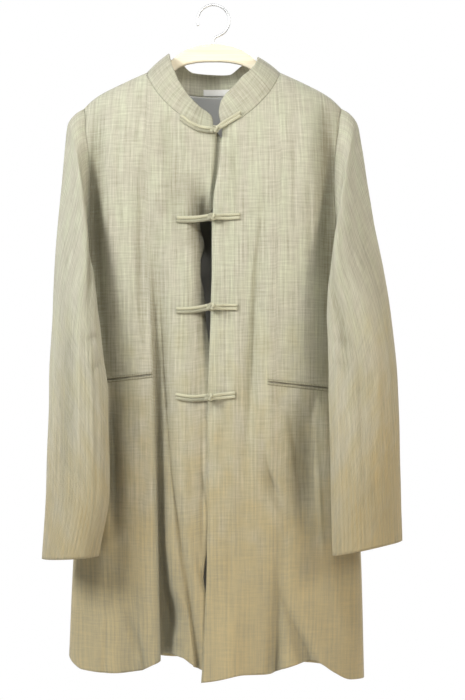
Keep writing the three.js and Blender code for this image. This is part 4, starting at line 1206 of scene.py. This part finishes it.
FROG_NAMES = "z x loop_x loop_z tail_x tail_z sag"
FROGS = [
    (-198.5, 2.5, -51, -178, 43, -173, 6),
    (-334, -2, -57, -337, 42, -332, 1.5),
    (-472.5, -3, -57.5, -477.5, 38, -472.5, 2),
    (-612, -6, -58.5, -610, 34.5, -608, 2.5),
]
REST = 0.3  # between a cord and the cloth it is sewn on
CORD_FLAT = 0.78  # a cord's thickness over its width
SHANK = 3.4  # radius of the loop's bend round the knot's shank
SHANK_TURNS = np.radians([60, 20, -20, -60])
# A button knot: its ball, how its cord weaves over and under, and how far its middle is off the cloth.
KNOT = {"radius": 4.3, "weave": 1.3, "lift": 9.6, "leads": 3, "bights": 4, "tilt": 1.12, "cord": 0.86}
KNOT_FEET = (-6, -2, 2, 6, 9)  # where the cloth under a knot is looked at
# A tail's way down from the knot: how far from the knot's middle, height, and half the gap between the two.
TAIL_TOP = (2, 1, 1.2)
TAIL_DROP = [(8, 8.2, 1.9), (12.5, 6.6, 2.3)]
TAIL_FOOT = (18, 1)
TAIL_END = (0.6, 0.8, 1)
CORD_ENDS = (0.02, 0.8)  # how thick a cord's last two rings are
CORD_STEPS = {"loop": 130, "knot": 180, "tail": 60}
LEG_PLACES = 7


def smooth_path(places, steps):
    """Evenly spaced points of a smooth curve through places."""
    places = np.asarray(places, float)
    along = np.concatenate([[0], np.cumsum(np.linalg.norm(np.diff(places, axis=0), axis=1))])
    curves = [Line(along, places[:, k]) for k in range(3)]
    at = np.linspace(0, along[-1], steps + 1)
    path = np.stack([curve(at) for curve in curves], axis=1)
    for _ in range(2):
        path[1:-1] = (path[:-2] + 2 * path[1:-1] + path[2:]) / 4
    return path


def cord_points(path, radius, sides, closed, flat):
    """Points round a cord, as a grid: round it, then along it. Open cords have round ends."""
    padded = np.pad(path, ((1, 1), (0, 0)), mode="edge")
    if closed:
        padded[0], padded[-1] = path[-2], path[1]
    along = unit(padded[2:] - padded[:-2])
    side = unit(np.cross(along, (0.0, 1.0, 0.0)))
    out = np.cross(side, along)
    angle = np.linspace(0, TURN, sides + 1)[:, None, None]
    ring = side[None] * np.cos(angle) + out[None] * np.sin(angle) * flat
    grow = np.ones(len(path))
    if not closed:
        grow[[0, -1]], grow[[1, -2]] = CORD_ENDS
    return path[None] + ring * radius * grow[None, :, None]


def away_from_path(path):
    """Says that a cord's outer face looks away from its middle line."""
    middles = [Vector(place) for place in (path * MM).tolist()]
    return lambda centre: centre - min(middles, key=lambda middle: (middle - centre).length_squared)


def add_cord(name, path, radius, sides=10, closed=False, flat=1):
    """A cord along a path in millimetres."""
    points = cord_points(path, radius, sides, closed, flat)
    return grid_piece(name, points, sheet_lengths(points), away_from_path(path), closed=True)


def joined(name, parts):
    """Several meshes made one object."""
    shape = bmesh.new()
    for part in parts:
        mesh = part.data
        shape.from_mesh(mesh)
        bpy.data.objects.remove(part)
        bpy.data.meshes.remove(mesh)
    return object_of(name, shape)


def knot_level(depth, frog):
    return min(depth(frog["x"] + step, frog["z"]) for step in KNOT_FEET)


def loop_path(depth, frog, radius, gap):
    """Out along one cord, round the knot's shank and back along the other."""
    seat = radius * CORD_FLAT + REST
    legs = []
    for side in (1, -1):
        leg = []
        for s in np.linspace(0, 1, LEG_PLACES):
            x = lerp(frog["loop_x"], frog["x"] - SHANK, s)
            sag = frog["sag"] * math.sin(math.pi * s)
            z = lerp(frog["loop_z"], frog["z"], s) - sag + side * gap / 2
            leg.append((x, depth(x, z) - seat, z))
        legs.append(leg)
    level = knot_level(depth, frog) - seat
    x, z = frog["x"], frog["z"]
    bend = [(x + SHANK * math.cos(t), level, z + SHANK * math.sin(t)) for t in SHANK_TURNS]
    return smooth_path(legs[0] + bend + legs[1][::-1], CORD_STEPS["loop"])


def knot_curve(centre):
    """A button knot: three leads and four bights woven over a ball."""
    t = np.linspace(0, TURN, CORD_STEPS["knot"] + 1)
    height = KNOT["tilt"] * np.cos(KNOT["bights"] * t)
    radius = KNOT["radius"] + KNOT["weave"] * np.sin(2 * KNOT["bights"] * t)
    turn = KNOT["leads"] * t
    flat = radius * np.cos(height)
    return np.stack([flat * np.cos(turn), -radius * np.sin(height), flat * np.sin(turn)], 1) + centre


def tail_path(depth, frog, radius, gap, side):
    """From the knot down over the loop, then along the cloth."""
    start, sunk, apart = TAIL_TOP
    level = knot_level(depth, frog) - KNOT["lift"] + sunk
    places = [(frog["x"] + start, level, frog["z"] + side * apart)]
    foot, loose = TAIL_FOOT
    for x, lift, apart in [*TAIL_DROP, (foot, radius + REST + loose, gap / 2)]:
        s = x / (frog["tail_x"] - frog["x"])
        z = lerp(frog["z"], frog["tail_z"], s) + side * apart
        places.append((frog["x"] + x, depth(frog["x"] + x, z) - lift, z))
    for s in TAIL_END:
        x = lerp(frog["x"], frog["tail_x"], s)
        z = lerp(frog["z"], frog["tail_z"], s) + side * gap / 2
        places.append((x, depth(x, z) - radius * CORD_FLAT - REST, z))
    return smooth_path(places, CORD_STEPS["tail"])


class COAT_OT_frogs(bpy.types.Operator):
    """Make the four frogs: corded loops on the right front, knots on the left"""

    bl_idname = "coat.frogs"
    bl_label = "Frogs"

    def execute(self, context):
        lies_on = ("front_left_cloth", "front_right_cloth", "collar_band")
        depth = partial(face_depth, [outer_face(name) for name in lies_on])
        radius, gap = sizes().cord_radius / MM, sizes().cord_gap / MM
        material = made("bias_cord", cord_cloth)
        for k, frog in enumerate(records(FROG_NAMES, FROGS), 1):
            path = loop_path(depth, frog, radius, gap)
            loop = add_cord(f"frog_loop_{k}_cord", path, radius, flat=CORD_FLAT)
            finish_piece(loop, material, "shell", f"frog_loop_{k}")
            centre = np.array([frog["x"], knot_level(depth, frog) - KNOT["lift"], frog["z"]])
            parts = [add_cord("ball", knot_curve(centre), radius * KNOT["cord"], 9, True)]
            for side in (1, -1):
                path = tail_path(depth, frog, radius, gap, side)
                parts.append(add_cord("tail", path, radius, flat=CORD_FLAT))
            finish_piece(joined(f"frog_knot_{k}_cord", parts), material, "shell", f"frog_knot_{k}")
        return {"FINISHED"}


HOOK = {"wire": 2.0, "crook": 25, "foot": -61.7, "turns": (-62, 200, 30), "sides": 16, "steps": 150}


def hook_path():
    """Up the hook's shank and round its crook, whose inside is at the origin."""
    crook, foot = HOOK["crook"], HOOK["foot"]
    centre = HOOK["wire"] - crook
    turns = np.radians(np.linspace(*HOOK["turns"]))
    bend = [(crook * math.cos(t), 0, centre + crook * math.sin(t)) for t in turns]
    shank = [(0, 0, foot), (0, 0, foot + 5), (2, 0, centre - crook - 2)]
    return smooth_path(shank + bend, HOOK["steps"])


class COAT_OT_hanger(bpy.types.Operator):
    """Finish the wooden hanger and make its smooth hook"""

    bl_idname = "coat.hanger"
    bl_label = "Hanger"

    def execute(self, context):
        wood = made("pale_wood", pale_wood)
        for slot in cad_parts["hanger"].material_slots:
            slot.material = wood
        hook = add_cord("hook_wire", hook_path(), HOOK["wire"], HOOK["sides"])
        finish_piece(hook, made("polished_steel", polished_steel), "steel", "hook")
        return {"FINISHED"}


# ---- the stage ----
CAMERA = {"x": 0.03, "z": -0.539, "distance": 4.0, "plane": -0.045, "height": 1.085, "sensor": 24.0}
FLOOR = {"z": -1.6, "size": 1.9}
LIGHTS = [
    ("key", (-1.8, -1.45, 0.6), 0.9, 57, (1.0, 1.0, 0.98)),
    ("side", (2.0, -1.5, 0.3), 0.8, 27, (1.0, 0.96, 0.86)),
    ("neck", (0.05, -1.1, 0.5), 0.3, 7.5, (1.0, 1.0, 0.98)),
    ("bounce", (0.9, -1.0, -1.45), 0.7, 3, (1.0, 0.6, 0.2)),
    ("back", (0.4, 2.4, 0.6), 2.0, 30, (1.0, 1.0, 1.0)),
]
ROOM = {"wall": (1.0, 1.0, 1.0), "room": (0.08, 0.085, 0.09), "floor": (0.08, 0.06, 0.035)}


def studio_room(world):
    """White behind the coat, dimmer in front of it and warmer below."""
    room = Finish(world)
    _, back, up = room.parts(room.place("Generated"))
    front = room.blend((0 - up).above(0.1, 0.7), ROOM["room"], ROOM["floor"])
    colour = room.blend(back.above(0.1, 0.6), front, ROOM["wall"])
    background = room.add("ShaderNodeBackground", None, {"Color": colour, "Strength": 1})
    room.add("ShaderNodeOutputWorld", None, {"Surface": background})
    return world


def stage_camera():
    data = bpy.data.cameras.new("camera")
    data.sensor_fit = "VERTICAL"
    data.sensor_height = CAMERA["sensor"]
    data.lens = CAMERA["sensor"] * (CAMERA["distance"] + CAMERA["plane"]) / CAMERA["height"]
    camera = link_object("camera", data)
    camera.location = (CAMERA["x"], -CAMERA["distance"], CAMERA["z"])
    camera.rotation_euler = (QUARTER, 0, 0)
    return camera


def stage_lights():
    aim = Vector((CAMERA["x"], 0, CAMERA["z"]))
    for name, place, size, power, colour in LIGHTS:
        light = bpy.data.lights.new(name, "AREA")
        light.size = size
        light.energy = power
        light.color = colour
        lamp = link_object(name, light)
        lamp.location = place
        lamp.rotation_euler = (aim - Vector(place)).to_track_quat("-Z", "Y").to_euler()


class COAT_OT_stage(bpy.types.Operator):
    """Set the camera, the soft lights and the plain floor"""

    bl_idname = "coat.stage"
    bl_label = "Stage"

    def execute(self, context):
        scene = context.scene
        scene.camera = stage_camera()
        stage_lights()
        scene.world = studio_room(bpy.data.worlds.new("studio"))
        scene.view_settings.view_transform = "Standard"
        shape = bmesh.new()
        bmesh.ops.create_grid(shape, x_segments=4, y_segments=4, size=FLOOR["size"])
        bmesh.ops.translate(shape, verts=shape.verts, vec=(0, 0, FLOOR["z"]))
        floor = object_of("floor", shape)
        floor.data.materials.append(made("studio_floor", plain_floor))
        return {"FINISHED"}


STEPS = ("panels", "sleeves", "collar", "lining", "pockets", "frogs", "hanger", "stage")


class COAT_PT_panel(bpy.types.Panel):
    """Lists the coat's pieces, sizes and colours"""

    bl_label = "Coat"
    bl_idname = "COAT_PT_panel"
    bl_space_type = "VIEW_3D"
    bl_region_type = "UI"
    bl_category = "Coat"

    def draw(self, context):
        for step in STEPS:
            self.layout.operator(f"coat.{step}")
        for group in (context.scene.coat_sizes, context.scene.coat_colours):
            for name in group.__annotations__:
                self.layout.prop(group, name)


CLASSES = (
    CoatSizes,
    CoatColours,
    COAT_OT_panels,
    COAT_OT_sleeves,
    COAT_OT_collar,
    COAT_OT_lining,
    COAT_OT_pockets,
    COAT_OT_frogs,
    COAT_OT_hanger,
    COAT_OT_stage,
    COAT_PT_panel,
)


def register():
    for kind in CLASSES:
        bpy.utils.register_class(kind)
    bpy.types.Scene.coat_sizes = bpy.props.PointerProperty(type=CoatSizes)
    bpy.types.Scene.coat_colours = bpy.props.PointerProperty(type=CoatColours)


def unregister():
    del bpy.types.Scene.coat_colours
    del bpy.types.Scene.coat_sizes
    for kind in reversed(CLASSES):
        bpy.utils.unregister_class(kind)


def main():
    register()
    for step in STEPS:
        getattr(bpy.ops.coat, step)()


if __name__ == "__main__":
    main()
